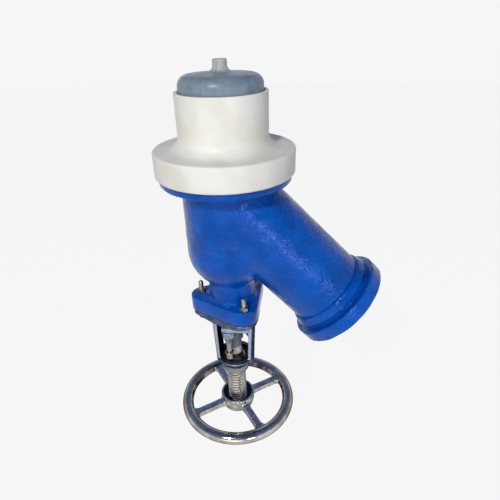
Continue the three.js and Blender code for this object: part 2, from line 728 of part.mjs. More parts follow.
// Gland: a nose that presses the packing, an oblong plate and a conical ear at each stud
function gland() {
  const outline = new THREE.Shape();
  const earReach = glandStudCircle;
  outline.absarc(0, earReach, glandEarRadius, 0, Math.PI, false);
  outline.absarc(0, 0, glandPlateHalfWidth, Math.PI * 0.8, Math.PI * 1.2, false);
  outline.absarc(0, -earReach, glandEarRadius, Math.PI, Math.PI * 2, false);
  outline.absarc(0, 0, glandPlateHalfWidth, -Math.PI * 0.2, Math.PI * 0.2, false);
  const body = plate(outline, glandPlateThickness, glandPlateTopZ).rotateZ(glandTurn);
  const nose = rod(packingOuterRadius, packingBottomZ - seatGap, glandPlateBottomZ, smallFacets);
  const ears = atGlandStuds((x, y) => turned([
    [0, glandPlateTopZ],
    [glandEarRadius, glandPlateTopZ],
    [glandEarRadius, glandPlateBottomZ],
    [glandEarTipRadius, glandEarTipZ],
    [0, glandEarTipZ],
  ], boltFacets).translate(x, y, 0));
  const web = new THREE.Shape();
  web.moveTo(-glandStudCircle, glandPlateBottomZ);
  web.lineTo(-glandStudCircle, glandEarTipZ + seatGap);
  web.lineTo(-packingOuterRadius, glandPlateBottomZ - seatGap);
  web.lineTo(packingOuterRadius, glandPlateBottomZ - seatGap);
  web.lineTo(glandStudCircle, glandEarTipZ + seatGap);
  web.lineTo(glandStudCircle, glandPlateTopZ - seatGap);
  web.lineTo(-glandStudCircle, glandPlateTopZ - seatGap);
  web.closePath();
  const webs = new THREE.ExtrudeGeometry(web, { depth: glandWebWidth, bevelEnabled: false });
  webs.rotateX(Math.PI / 2).translate(0, glandWebWidth / 2, 0).rotateZ(Math.PI / 2 + glandTurn);
  const stemHole = rod(packingInnerRadius, packingTopZ, glandEarTipZ, smallFacets);
  const studHoles = atGlandStuds((x, y) => (
    rod(glandStudRadius + seatGap, packingTopZ, glandEarTipZ - overrun, boltFacets).translate(x, y, 0)
  ));
  return carve([body, nose, webs, ...ears], [stemHole, ...studHoles]);
}

const spacerTopZ = glandEarTipZ - seatGap;
const spacerEndZ = spacerTopZ - glandSpacerLength;
const glandWasherTopZ = spacerEndZ - seatGap;
const glandNutTopZ = glandWasherTopZ - glandWasherThickness - seatGap;
const glandLockNutTopZ = glandNutTopZ - glandNutHeight - seatGap;
const glandStudEndZ = glandLockNutTopZ - glandNutHeight - glandStudPlay;

function glandSpacers() {
  const inner = glandStudRadius + seatGap;
  return atGlandStuds((x, y) => (
    toSolid(ring(inner, inner + glandSpacerWall, spacerTopZ, spacerEndZ, boltFacets).translate(x, y, 0))
  ));
}

function glandWashers() {
  const inner = glandStudRadius + seatGap;
  const bottomZ = glandWasherTopZ - glandWasherThickness;
  return atGlandStuds((x, y) => (
    toSolid(ring(inner, glandWasherRadius, glandWasherTopZ, bottomZ, boltFacets).translate(x, y, 0))
  ));
}

function glandNuts(topZ) {
  return atGlandStuds((x, y) => hexagon(glandNutAcross, topZ, glandNutHeight, glandStudRadius + seatGap, x, y));
}

function glandStuds() {
  const topZ = boxEndZ + glandStudDepth - seatGap;
  return atGlandStuds((x, y) => toSolid(rod(glandStudRadius, topZ, glandStudEndZ, boltFacets).translate(x, y, 0)));
}

// Bush: flanged, pressed into the boss from the bowl and held by a grub screw
function yokeBush() {
  const flangeTopZ = bowlFloorZ + seatGap + bushFlangeThickness;
  const grubSeat = rod(grubRadius + seatGap, bushRadius + overrun, bushBoreRadius + bushWall / 2, boltFacets);
  grubSeat.rotateX(Math.PI / 2).translate(0, 0, grubZ);
  const body = turned([
    [bushBoreRadius, flangeTopZ],
    [bushFlangeRadius, flangeTopZ],
    [bushFlangeRadius, bowlFloorZ + seatGap],
    [bushRadius, bowlFloorZ + seatGap],
    [bushRadius, bossEndZ],
    [bushBoreRadius, bossEndZ],
  ], smallFacets);
  return carve([body], [grubSeat]);
}

function bushGrubScrew() {
  const innerEnd = bushBoreRadius + bushWall / 2 + seatGap;
  return toSolid(rod(grubRadius, bossRadius, innerEnd, boltFacets).rotateX(Math.PI / 2).translate(0, 0, grubZ));
}

// Screw: socket for the stem, plain outer diameter of the thread, square drive and threaded end
function leadScrew() {
  const driveTopZ = hubFloorZ + seatGap;
  const endZ = wheelWasherTopZ - wheelWasherThickness - seatGap - wheelNutHeight - wheelThreadPlay;
  const socketRadius = bareStemRadius + screwSocketGap;
  const shank = turned([
    [0, screwTopZ],
    [screwRadius - screwEndChamfer, screwTopZ],
    [screwRadius, screwTopZ - screwEndChamfer],
    [screwRadius, driveTopZ],
    [0, driveTopZ],
  ], smallFacets);
  const threadedEnd = rod(wheelThreadRadius, driveTopZ, endZ, boltFacets);
  const half = (driveSquare - 2 * seatGap) / 2;
  const driveLength = driveTopZ - hubBottomZ;
  const drive = plate(rectangleShape(half, half, seatGap), driveLength - seatGap, driveTopZ);
  const socket = rod(socketRadius, screwTopZ + overrun, screwTopZ - screwSocketDepth, smallFacets);
  const holes = pinPlaces((geometry) => geometry, pinRadius + seatGap, screwRadius * 2);
  return carve([shank, threadedEnd, drive], [socket, ...holes]);
}

// The two retaining pins lie along Y, each beside the stem's groove
function pinPlaces(finish, radius, length) {
  const offset = stemGrooveRadius + pinRadius + seatGap;
  return [-1, 1].map((side) => {
    const geometry = rod(radius, length / 2, -length / 2, boltFacets);
    return finish(geometry.rotateX(Math.PI / 2).translate(side * offset, 0, stemGrooveZ));
  });
}

// Handwheel: round rim, four flared spokes and a cupped hub with a square hole
function handwheel() {
  const rim = new THREE.TorusGeometry(wheelRingRadius, wheelRimRadius, wheelTubeFacets, wheelFacets);
  const spokes = [];
  const half = spokeWidth / 2;
  const inner = hubRadius - hubWall;
  const outer = wheelRingRadius - wheelRimRadius;
  for (let i = 0; i < wheelSpokes; i += 1) {
    const shape = new THREE.Shape();
    shape.moveTo(inner, -half - spokeFlare / 2);
    shape.quadraticCurveTo(hubRadius + spokeFlare, -half, hubRadius + 2 * spokeFlare, -half);
    shape.lineTo(outer - spokeFlare, -half);
    shape.quadraticCurveTo(outer, -half, outer + spokeFlare / 2, -half - spokeFlare);
    shape.lineTo(wheelRingRadius, -half - spokeFlare);
    shape.lineTo(wheelRingRadius, half + spokeFlare);
    shape.lineTo(outer + spokeFlare / 2, half + spokeFlare);
    shape.quadraticCurveTo(outer, half, outer - spokeFlare, half);
    shape.lineTo(hubRadius + 2 * spokeFlare, half);
    shape.quadraticCurveTo(hubRadius + spokeFlare, half, inner, half + spokeFlare / 2);
    shape.closePath();
    const spoke = plate(shape, spokeDepth, spokeDepth / 2, 0, 2);
    spokes.push(spoke.rotateZ((i * Math.PI * 2) / wheelSpokes));
  }
  const hubTop = hubTopZ - wheelZ;
  const hubBottom = hubBottomZ - wheelZ;
  const hub = turned([
    [0, hubTop],
    ...arc(hubRadius - hubEdgeRound, hubTop - hubEdgeRound, hubEdgeRound, 90, 0, 2),
    [hubRadius, (hubTop + hubBottom) / 2],
    [hubSkirtRadius, hubBottom],
    [0, hubBottom],
  ], castFacets);
  const recess = rod(hubRadius - hubWall, hubTop + overrun, hubTop - hubRecess, castFacets);
  const squareShape = rectangleShape(driveSquare / 2, driveSquare / 2, seatGap);
  const squareHole = plate(squareShape, hubHeight + overrun, hubTop).rotateZ(-wheelTurn);
  return carve([rim, hub, ...spokes], [recess, squareHole]);
}

function wheelWasher() {
  const bottomZ = wheelWasherTopZ - wheelWasherThickness;
  return toSolid(ring(wheelThreadRadius + seatGap, wheelWasherRadius, wheelWasherTopZ, bottomZ, smallFacets));
}

function wheelNut() {
  const topZ = wheelWasherTopZ - wheelWasherThickness - seatGap;
  return hexagon(wheelNutAcross, topZ, wheelNutHeight, wheelThreadRadius + seatGap, 0, 0);
}

// Bonnet studs run from the bonnet's flange up through the foot and end in a low dome
function bonnetStuds() {
  const topZ = footZ + studStandOut;
  return atStuds((x, y) => toSolid(turned([
    [0, topZ],
    [studRadius - studDome, topZ],
    [studRadius, topZ - studDome],
    [studRadius, bonnetFlangeZ],
    [0, bonnetFlangeZ],
  ], boltFacets).translate(x, y, 0)));
}

function bonnetNuts() {
  const topZ = footZ + seatGap + studNutHeight;
  return atStuds((x, y) => hexagon(studNutAcross, topZ, studNutHeight, studRadius + seatGap, x, y));
}

// Fixed pieces, then the pieces that rise with the plug, then those that turn with the handwheel
const valve = new THREE.Group();

const fixedPieces = new THREE.Group();
fixedPieces.add(
  named('body_casting', bodyCasting(), bluePaint),
  named('body_liner', bodyLiner(), whitePolymer),
  named('nozzle_sleeve', nozzleSleeve(), whitePolymer),
  named('seat_ring', seatRing(), whitePolymer),
  named('stem_guide', stemGuide(), whitePolymer),
  named('bonnet_gasket', bonnetGasket(), gasketFibre),
  named('bonnet_yoke', bonnet(), castSteel),
  named('gland_follower', gland(), castSteel),
  named('yoke_bush', yokeBush(), bronze),
  named('bush_grub_screw', bushGrubScrew(), turnedSteel),
);
for (let i = 0; i < packingRings; i += 1) {
  fixedPieces.add(named(`packing_ring_${i + 1}`, packingRing(i), whitePolymer));
}

// Adds one node for each copy of a repeated piece
function addCopies(group, name, solids, places) {
  solids.forEach((solid, i) => group.add(named(`${name}_${places[i]}`, solid, turnedSteel)));
}

const glandPlaces = ['front', 'back'];
addCopies(fixedPieces, 'gland_stud', glandStuds(), glandPlaces);
addCopies(fixedPieces, 'gland_spacer', glandSpacers(), glandPlaces);
addCopies(fixedPieces, 'gland_washer', glandWashers(), glandPlaces);
addCopies(fixedPieces, 'gland_nut', glandNuts(glandNutTopZ), glandPlaces);
addCopies(fixedPieces, 'gland_lock_nut', glandNuts(glandLockNutTopZ), glandPlaces);

const cornerPlaces = ['left', 'front', 'back'];
addCopies(fixedPieces, 'bonnet_stud', bonnetStuds(), cornerPlaces);
addCopies(fixedPieces, 'bonnet_nut', bonnetNuts(), cornerPlaces);

const risingPieces = new THREE.Group();
risingPieces.add(
  named('plug_disc', plugDisc(), greyPolymer),
  named('plug_stem', plugStem(), greyPolymer),
);

const turningPieces = new THREE.Group();
const wheel = named('handwheel', handwheel(), polishedSteel);
wheel.position.set(0, 0, wheelZ);
wheel.rotation.set(0, 0, wheelTurn);
turningPieces.add(
  wheel,
  named('lead_screw', leadScrew(), turnedSteel),
  named('wheel_washer', wheelWasher(), turnedSteel),
  named('wheel_nut', wheelNut(), turnedSteel),
);

addCopies(turningPieces, 'retaining_pin', pinPlaces(toSolid, pinRadius, pinLength), ['left', 'right']);

valve.add(fixedPieces, risingPieces, turningPieces);

export default valve;
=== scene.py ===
import json
import math
import bmesh
import bpy
import numpy as np
from mathutils import Matrix, Vector, noise


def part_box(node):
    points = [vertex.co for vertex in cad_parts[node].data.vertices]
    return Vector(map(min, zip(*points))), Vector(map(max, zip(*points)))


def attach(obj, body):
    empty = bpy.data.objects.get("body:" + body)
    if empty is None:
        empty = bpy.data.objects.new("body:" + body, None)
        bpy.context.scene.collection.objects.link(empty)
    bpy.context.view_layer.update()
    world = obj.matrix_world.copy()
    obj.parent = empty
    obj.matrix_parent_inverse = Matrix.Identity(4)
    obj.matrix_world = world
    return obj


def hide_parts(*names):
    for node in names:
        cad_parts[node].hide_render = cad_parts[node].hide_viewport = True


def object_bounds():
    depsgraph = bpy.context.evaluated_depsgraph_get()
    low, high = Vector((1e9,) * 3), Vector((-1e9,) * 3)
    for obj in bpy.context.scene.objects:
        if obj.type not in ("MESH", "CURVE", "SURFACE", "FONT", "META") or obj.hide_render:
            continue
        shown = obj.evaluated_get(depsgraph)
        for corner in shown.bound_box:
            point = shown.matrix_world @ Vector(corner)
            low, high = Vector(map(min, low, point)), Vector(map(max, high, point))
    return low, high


# A lined tank bottom outlet valve: finer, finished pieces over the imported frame.
# Sizes are in millimetres until a mesh is made; heights and radii come from the frame where it has them.
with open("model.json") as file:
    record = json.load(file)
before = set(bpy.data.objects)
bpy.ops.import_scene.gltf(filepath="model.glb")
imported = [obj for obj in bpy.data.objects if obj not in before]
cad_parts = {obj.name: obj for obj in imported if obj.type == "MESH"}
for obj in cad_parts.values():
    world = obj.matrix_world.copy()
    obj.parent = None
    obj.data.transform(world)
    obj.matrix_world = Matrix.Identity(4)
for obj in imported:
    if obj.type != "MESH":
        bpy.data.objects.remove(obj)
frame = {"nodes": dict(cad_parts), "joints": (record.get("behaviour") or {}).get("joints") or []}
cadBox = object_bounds()
mm = 0.001


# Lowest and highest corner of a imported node, in millimetres
def extent(node):
    low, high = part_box(node)
    return low / mm, high / mm


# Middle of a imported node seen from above, in millimetres
def middleOf(node):
    low, high = extent(node)
    return (low.x + high.x) / 2, (low.y + high.y) / 2


# Camera, solved from the circles of the photographed valve
view = {
    "place": (93.6, -460.4, 119.8),
    "turn": 8.39,  # degrees to the left of the +Y direction
    "lookDown": 28.31,
    "roll": -1.74,
    "lens": 30.24,  # for a 36 mm wide sensor
    "sensor": 36.0,
}


def makeCamera():
    data = bpy.data.cameras.new("camera")
    data.lens = view["lens"]
    data.sensor_width = view["sensor"]
    data.clip_start = 0.01
    camera = bpy.data.objects.new("camera", data)
    bpy.context.scene.collection.objects.link(camera)
    level = Matrix.Rotation(math.radians(view["turn"]), 4, "Z")
    tilt = Matrix.Rotation(math.radians(90 - view["lookDown"]), 4, "X")
    roll = Matrix.Rotation(math.radians(view["roll"]), 4, "Z")
    camera.matrix_world = Matrix.Translation(Vector(view["place"]) * mm) @ level @ tilt @ roll
    bpy.context.scene.camera = camera


makeCamera()
bpy.context.scene.view_settings.view_transform = "Standard"
print("camera placed")


# Colours and shader nodes
# sRGB hex to the linear values that sockets take
def linear(hexColour, alpha=1.0):
    channels = [int(hexColour[i:i + 2], 16) / 255 for i in (1, 3, 5)]
    return [c / 12.92 if c <= 0.04045 else ((c + 0.055) / 1.055) ** 2.4 for c in channels] + [alpha]


# Adds one node, sets its properties and sockets, and links what feeds it
def addNode(tree, kind, sockets=None, links=None, stops=None, **settings):
    node = tree.nodes.new(kind)
    for name, value in settings.items():
        setattr(node, name, value)
    for name, value in (sockets or {}).items():
        node.inputs[name].default_value = value
    for name, source in (links or {}).items():
        tree.links.new(source, node.inputs[name])
    for i, (place, colour) in enumerate(stops or []):
        ramp = node.color_ramp.elements
        stop = ramp[i] if i < len(ramp) else ramp.new(place)
        stop.position = place
        stop.color = colour
    return node


materials = {}


# A new material with its shader's own constants set
def newMaterial(name, **shaderValues):
    material = bpy.data.materials.new(name)
    material.use_nodes = True
    materials[name] = material
    tree = material.node_tree
    shader = tree.nodes["Principled BSDF"]
    for socket, value in shaderValues.items():
        shader.inputs[socket.replace("_", " ")].default_value = value
    place = addNode(tree, "ShaderNodeTexCoord").outputs["Object"]
    return tree, shader, place


# How far a measure of the point lies between two limits, from 0 to 1 with soft ends. The measure is an axis
# ("x", "y" or "z"), the distance from the stem's axis ("away") or from a spot (its place), another node's
# output, or noise, given as the size of its lumps. Lengths are in millimetres. Without limits, the measure
# itself comes back.
def pattern(tree, place, measure, low=None, high=None, toLow=0.0, toHigh=1.0, detail=2.0, roughness=0.5,
            unit=mm):
    if isinstance(measure, bpy.types.NodeSocket):
        source = measure
    elif measure == "away":
        flat = addNode(tree, "ShaderNodeVectorMath", {1: (1, 1, 0)}, {0: place}, operation="MULTIPLY")
        links = {0: flat.outputs["Vector"]}
        source = addNode(tree, "ShaderNodeVectorMath", None, links, operation="LENGTH").outputs["Value"]
    elif isinstance(measure, str):
        source = addNode(tree, "ShaderNodeSeparateXYZ", None, {0: place}).outputs[measure.upper()]
    elif isinstance(measure, tuple):
        centre = {1: Vector(measure) * mm}
        source = addNode(tree, "ShaderNodeVectorMath", centre, {0: place}, operation="DISTANCE").outputs["Value"]
    else:
        settings = {"Scale": 1 / (measure * mm), "Detail": detail, "Roughness": roughness}
        source = addNode(tree, "ShaderNodeTexNoise", settings, {"Vector": place}).outputs["Fac"]
        unit = 1.0
    if low is None:
        return source
    limits = {"From Min": low * unit, "From Max": high * unit, "To Min": toLow, "To Max": toHigh}
    soft = addNode(tree, "ShaderNodeMapRange", limits, {"Value": source}, interpolation_type="SMOOTHSTEP")
    return soft.outputs["Result"]


# Lays one colour over another where all the masks are 1. A colour is a hex value or another node's output.
def coat(tree, under, over, *masks, share=1.0):
    factor = masks[0]
    for mask in masks[1:]:
        factor = addNode(tree, "ShaderNodeMath", None, {0: factor, 1: mask}, operation="MULTIPLY").outputs[0]
    if share < 1:
        factor = addNode(tree, "ShaderNodeMath", {1: share}, {0: factor}, operation="MULTIPLY").outputs[0]
    mix = addNode(tree, "ShaderNodeMix", None, {0: factor}, data_type="RGBA")
    for socket, colour in ((6, under), (7, over)):
        if isinstance(colour, str):
            mix.inputs[socket].default_value = linear(colour)
        else:
            tree.links.new(colour, mix.inputs[socket])
    return mix.outputs[2]


# Links colour, gloss and relief to the shader. Each relief is a pattern and its height in millimetres.
def dress(tree, shader, colour, gloss=None, reliefs=()):
    normal = None
    for height, millimetres in reliefs:
        links = {"Height": height}
        if normal:
            links["Normal"] = normal
        normal = addNode(tree, "ShaderNodeBump", {"Distance": millimetres * mm}, links).outputs["Normal"]
    for socket, source in (("Base Color", colour), ("Roughness", gloss), ("Normal", normal)):
        if source:
            tree.links.new(source, shader.inputs[socket])


# Glossy blue enamel, sprayed on a sand casting: the sand's grain shows through as sparkling lumps
enamelLook = {
    "colour": "#0056B8",
    "deep": "#00469E",
    "cloud": 38.0,
    "tint": "#90A4FF",
    # Painted highlights: pale violet-grey blotches on the bulb's upper front stand in for glints of light
    "paintedGlints": [((-9, -50, -112), 20), ((12, -52, -103), 15)],  # each one's middle and radius
    "paintedGlintColour": "#46546F",
    "blotch": 7.0,
    "fleck": 3.0,
    "fleckColour": "#2470D2",
    "gloss": (0.12, 0.26),
    "glossCloud": 11.0,
    "swell": 11.0,
    "swellHeight": 0.8,
    "grain": 2.6,
    "grainHeight": 0.46,
}


def blueEnamel():
    look = enamelLook
    tree, shader, place = newMaterial(
        "blueEnamel", Roughness=0.18, IOR=1.5, Specular_IOR_Level=0.42, Specular_Tint=linear(look["tint"]))
    cloud = pattern(tree, place, look["cloud"], 0.35, 0.7, detail=3)
    colour = coat(tree, look["deep"], look["colour"], cloud)
    # Painted highlight: blotches of pale violet-grey round these two spots
    for centre, radius in look["paintedGlints"]:
        blotch = pattern(tree, place, look["blotch"], 0.45, 0.7, detail=4, roughness=0.65)
        near = pattern(tree, place, centre, 0.0, radius, 1.0, 0.0)
        colour = coat(tree, colour, look["paintedGlintColour"], near, blotch, share=0.6)
    flecks = pattern(tree, place, look["fleck"], 0.52, 0.7, detail=4, roughness=0.7)
    colour = coat(tree, colour, look["fleckColour"], flecks, share=0.4)
    gloss = pattern(tree, place, look["glossCloud"], 0.3, 0.75, *look["gloss"], detail=3)
    swell = pattern(tree, place, look["swell"])
    grain = pattern(tree, place, look["grain"], detail=3, roughness=0.6)
    dress(tree, shader, colour, gloss, [(swell, look["swellHeight"]), (grain, look["grainHeight"])])


# White fluoropolymer, turned: waxy and off-white, with faint tool rings and small dents
whiteLook = {
    "colour": "#E9E8E4",
    "cloudy": "#DFDDD2",
    "cloud": 34.0,
    "smudge": 9.0,
    "smudgeColour": "#C9C7BC",
    "gloss": (0.36, 0.5),
    "glossCloud": 6.0,
    "ringPitch": 0.9,  # coarser than the real feed, so that it shows
    "ringHeight": 0.006,
    "dent": 3.5,
    "dentDepth": 0.05,
}


def whiteFluoropolymer():
    look = whiteLook
    tree, shader, place = newMaterial(
        "whiteFluoropolymer", Roughness=0.42, IOR=1.36, Subsurface_Weight=0.12, Subsurface_Scale=0.004)
    cloud = pattern(tree, place, look["cloud"], 0.35, 0.7, detail=3)
    colour = coat(tree, look["colour"], look["cloudy"], cloud)
    smudge = pattern(tree, place, look["smudge"], 0.62, 0.8, detail=4, roughness=0.6)
    colour = coat(tree, colour, look["smudgeColour"], smudge, share=0.35)
    gloss = pattern(tree, place, look["glossCloud"], 0.3, 0.7, *look["gloss"], detail=3)
    perMetre = 2 * math.pi / (look["ringPitch"] * mm)
    height = pattern(tree, place, "z")
    turns = addNode(tree, "ShaderNodeMath", {1: perMetre}, {0: height}, operation="MULTIPLY").outputs[0]
    rings = addNode(tree, "ShaderNodeMath", None, {0: turns}, operation="SINE").outputs[0]
    dents = pattern(tree, place, look["dent"], 0.28, 0.4, detail=1)
    dress(tree, shader, colour, gloss, [(rings, look["ringHeight"]), (dents, look["dentDepth"])])


# Grey-blue fluoropolymer, moulded: smooth and a little cloudy, paler where it thins to the stub,
# with the mould's parting line worn dark
greyLook = {
    "colour": "#6B7B8B",
    "cloudy": "#8091A0",
    "cloud": 13.0,
    "stub": "#AEB3B4",
    "stubHeight": 14.0,
    "stubFade": 5.0,
    "streak": 4.0,
    "streakColour": "#596778",
    "seam": "#4E5A68",
    "seamFacing": -14.5,  # degrees from +X; the line is seen left of the middle
    "seamWidth": 0.7,
    "seamWear": 9.0,
    "gloss": (0.28, 0.44),
    "glossCloud": 8.0,
    "swell": 5.0,
    "swellHeight": 0.1,
}


def greyFluoropolymer():
    look = greyLook
    tree, shader, place = newMaterial(
        "greyFluoropolymer", Roughness=0.34, IOR=1.36, Subsurface_Weight=0.08, Subsurface_Scale=0.003)
    cloud = pattern(tree, place, look["cloud"], 0.3, 0.72, detail=3, roughness=0.6)
    colour = coat(tree, look["colour"], look["cloudy"], cloud)
    stubFrom = extent("plug_disc")[1].z - look["stubHeight"]
    colour = coat(tree, colour, look["stub"], pattern(tree, place, "z", stubFrom, stubFrom + look["stubFade"]))
    streak = pattern(tree, place, look["streak"], 0.58, 0.75, detail=4, roughness=0.7)
    colour = coat(tree, colour, look["streakColour"], streak, share=0.3)
    turn = math.radians(look["seamFacing"])
    facing = {1: (math.cos(turn), math.sin(turn), 0)}
    across = addNode(tree, "ShaderNodeVectorMath", facing, {0: place}, operation="DOT_PRODUCT").outputs["Value"]
    aside = addNode(tree, "ShaderNodeMath", None, {0: across}, operation="ABSOLUTE").outputs[0]
    seam = pattern(tree, place, aside, 0.0, look["seamWidth"], 1.0, 0.0)
    worn = pattern(tree, place, look["seamWear"], 0.3, 0.6, 0.2, 0.75)
    colour = coat(tree, colour, look["seam"], seam, worn)
    gloss = pattern(tree, place, look["glossCloud"], 0.3, 0.7, *look["gloss"])
    dress(tree, shader, colour, gloss, [(pattern(tree, place, look["swell"]), look["swellHeight"])])


# Fluoropolymer sprayed on the stem: pale grey and matt, with a painted shadow that greys it above the gland's
# underside
stemLook = {
    "colour": "#D2D5D0",
    "cloudy": "#BCC1BD",
    "cloud": 6.0,
    "paintedShadow": "#727C82",
    "paintedShadowFrom": -287.0,
    "paintedShadowTo": -283.0,
    "orangePeel": 3.0,
    "orangePeelHeight": 0.05,
}


def coatedStem():
    look = stemLook
    tree, shader, place = newMaterial("coatedStem", Roughness=0.45, IOR=1.36)
    cloud = pattern(tree, place, look["cloud"], 0.35, 0.7, detail=3)
    colour = coat(tree, look["colour"], look["cloudy"], cloud)
    # Painted shadow: darker grey above -283 mm, where the gland's shade falls on the stem
    colour = coat(tree, colour, look["paintedShadow"], pattern(tree, place, "z", look["paintedShadowFrom"], look["paintedShadowTo"]))
    dress(tree, shader, colour, None, [(pattern(tree, place, look["orangePeel"]), look["orangePeelHeight"])])


# Fibre sheet, pressed and cut: dark and matt, with short fibres in its cut edge
gasketLook = {
    "colour": "#23272E",
    "fibre": "#3D424A",
    "fibreSize": 1.6,
    "fibreHeight": 0.08,
}


def fibreGasket():
    look = gasketLook
    tree, shader, place = newMaterial("fibreGasket", Roughness=0.75, IOR=1.45, Specular_IOR_Level=0.3)
    fibres = pattern(tree, place, look["fibreSize"], 0.35, 0.65, detail=4, roughness=0.7)
    colour = coat(tree, look["colour"], look["fibre"], fibres)
    dress(tree, shader, colour, None, [(fibres, look["fibreHeight"])])


# Metals: bright colour, dull colour, tint at grazing angles, roughness, grain size and height, cloud size,
# and the depth of scratches where there are any; lengths in millimetres
metals = {
    # The yoke's colours are darkened and blued: a painted reflection of a clear sky
    "yokeStainless": ("#727C94", "#505A70", "#202E52", 0.36, 1.1, 0.06, 9),  # cast, left raw, under a clear sky
    "castStainless": ("#AEB4BE", "#868E9E", "#4A5C82", 0.34, 1.1, 0.05, 10),  # investment cast, brighter
    "wheelCasting": ("#D2D0CA", "#A3A09A", "#6A6864", 0.34, 1.2, 0.07, 7),  # cast and shot-blasted
    "rimStainless": ("#CECAC2", "#A29D96", "#35281F", 0.12, 4.0, 0.02, 22, 0.004),  # turned and polished
    "rolledThread": ("#FBF7EE", "#E4DED2", "#7C776C", 0.3, 6.0, 0.01, 18),  # cut thread, crests run bright
    "turnedStainless": ("#B8B3A9", "#959087", "#4A463F", 0.32, 1.0, 0.01, 5),  # bar stock, nuts and washers
    "threadedStainless": ("#DAD6CA", "#B0A99B", "#4E4A44", 0.2, 1.5, 0.01, 6),  # rolled studs
    "shaftStainless": ("#BDC1C0", "#8E908C", "#5A5C5C", 0.28, 2.0, 0.01, 8),  # ground shaft
    "dullBronze": ("#5E5038", "#3C3226", "#241C14", 0.42, 1.5, 0.03, 7),  # turned, oily and browned
}


# A metal is clouded between bright and dull, its gloss is uneven, and its surface has a fine grain.
# Its tint at grazing angles paints a reflection of darker surroundings on its edges.
def metal(name, bright, dull, edge, roughness, grain, grainHeight, cloudSize, scratch=0.0):
    tree, shader, place = newMaterial(name, Metallic=1.0, Roughness=roughness, Specular_Tint=linear(edge))
    colour = coat(tree, dull, bright, pattern(tree, place, cloudSize, 0.35, 0.7, detail=4, roughness=0.6))
    gloss = pattern(tree, place, cloudSize / 2, 0.3, 0.7, roughness * 0.75, roughness * 1.3, detail=3)
    reliefs = [(pattern(tree, place, grain, detail=3, roughness=0.6), grainHeight)]
    if scratch:
        squashed = addNode(tree, "ShaderNodeMapping", {"Scale": (1, 1, 9)}, {"Vector": place}).outputs[0]
        reliefs.append((pattern(tree, squashed, 2.5, detail=4, roughness=0.7), scratch))
    dress(tree, shader, colour, gloss, reliefs)


# What a further coat of colour on a finished material needs
def opened(name):
    tree = materials[name].node_tree
    shader = tree.nodes["Principled BSDF"]
    place = addNode(tree, "ShaderNodeTexCoord").outputs["Object"]
    return tree, shader, place, shader.inputs["Base Color"].links[0].from_socket


# The wheel's hub and spokes: a painted reflection of a blue-grey sky on their upper faces, and painted shade in
# the hub's cup
castingLook = {
    "worn": ("#868D9B", "#B4B9C2"),
    "skyReflectionCloud": 9.0,
    "skyReflectionFacing": (0.45, 0.85),  # how far up a face looks, from 0 to 1
    "hollowShade": "#34302C",
    "hollowShadeCloud": 6.0,
    "cup": (20.9, 22.3),  # the grease ends between these distances from the axis
}


def paintCastingLight():
    look = castingLook
    tree, shader, place, base = opened("wheelCasting")
    cloud = pattern(tree, place, look["skyReflectionCloud"], 0.35, 0.65, detail=4, roughness=0.6)
    normal = addNode(tree, "ShaderNodeTexCoord").outputs["Normal"]
    # Painted reflection: faces that look up are tinted blue-grey, as if mirroring the sky
    facing = pattern(tree, normal, "z", *look["skyReflectionFacing"], unit=1.0)
    base = coat(tree, base, coat(tree, *look["worn"], cloud), facing)
    # Painted shade: the hub's cup is darkened, as it lies in shade
    cup = pattern(tree, place, "away", *look["cup"], 1.0, 0.0)
    hollowShadeBreakup = pattern(tree, place, look["hollowShadeCloud"], 0.25, 0.6, 0.7, 1.0, detail=3)
    dress(tree, shader, coat(tree, base, look["hollowShade"], cup, hollowShadeBreakup))


# The rim: a painted reflection of dark brown surroundings on its inner side, and a paler one on its outer side
# behind
rimLook = {
    "streak": 15.0,
    "film": "#41352C",
    "innerReflectionRange": (69.5, 75.5),  # thickest at the first of these distances from the axis, gone at the second
    "outerReflection": "#8A7C6E",
    "outerRange": (80.0, 83.0),
    "outerBehind": (-62.0, -20.0),
}


def paintRimReflections():
    look = rimLook
    tree, shader, place, base = opened("rimStainless")
    streaks = pattern(tree, place, look["streak"], 0.35, 0.6, 0.35, 1.0, detail=4, roughness=0.65)
    inner = pattern(tree, place, "away", *look["innerReflectionRange"], 1.0, 0.0)
    # Painted reflection: dark brown on the rim's inner side
    base = coat(tree, base, look["film"], inner, streaks)
    outer = pattern(tree, place, "away", *look["outerRange"])
    behind = pattern(tree, place, "y", *look["outerBehind"])
    # Painted reflection: a paler brown on the rim's outer side, towards the back
    dress(tree, shader, coat(tree, base, look["outerReflection"], outer, behind, streaks))


# The lead screw: painted shade darkens the thread's grooves
threadLook = {
    "hollowShade": "#3E3830",
    "groove": (11.5, 12.9),  # darkest at the first of these distances from the axis
    "threadEnds": -386.0,
}


def shadeThreadGrooves():
    look = threadLook
    tree, shader, place, base = opened("rolledThread")
    groove = pattern(tree, place, "away", *look["groove"], 1.0, 0.0)
    threaded = pattern(tree, place, "z", look["threadEnds"] - 1, look["threadEnds"])
    # Painted shade: darker towards the root of the thread
    dress(tree, shader, coat(tree, base, look["hollowShade"], groove, threaded, share=0.8))


for make in (blueEnamel, whiteFluoropolymer, greyFluoropolymer, coatedStem, fibreGasket):
    make()
for metalName, values in metals.items():
    metal(metalName, *values)
for wear in (paintCastingLight, paintRimReflections, shadeThreadGrooves):
    wear()
print("materials made")


# Mesh helpers: everything is drawn in millimetres and stored in metres
def toObject(name, points, faces):
    mesh = bpy.data.meshes.new(name)
    mesh.from_pydata([tuple(c * mm for c in p) for p in points], [], faces)
    mesh.validate()
    item = bpy.data.objects.new(name, mesh)
    bpy.context.scene.collection.objects.link(item)
    return item


def arcPoints(centreR, centreZ, radius, fromDegrees, toDegrees, steps):
    angles = [math.radians(fromDegrees + (toDegrees - fromDegrees) * i / steps) for i in range(steps + 1)]
    return [(centreR + radius * math.cos(a), centreZ + radius * math.sin(a)) for a in angles]


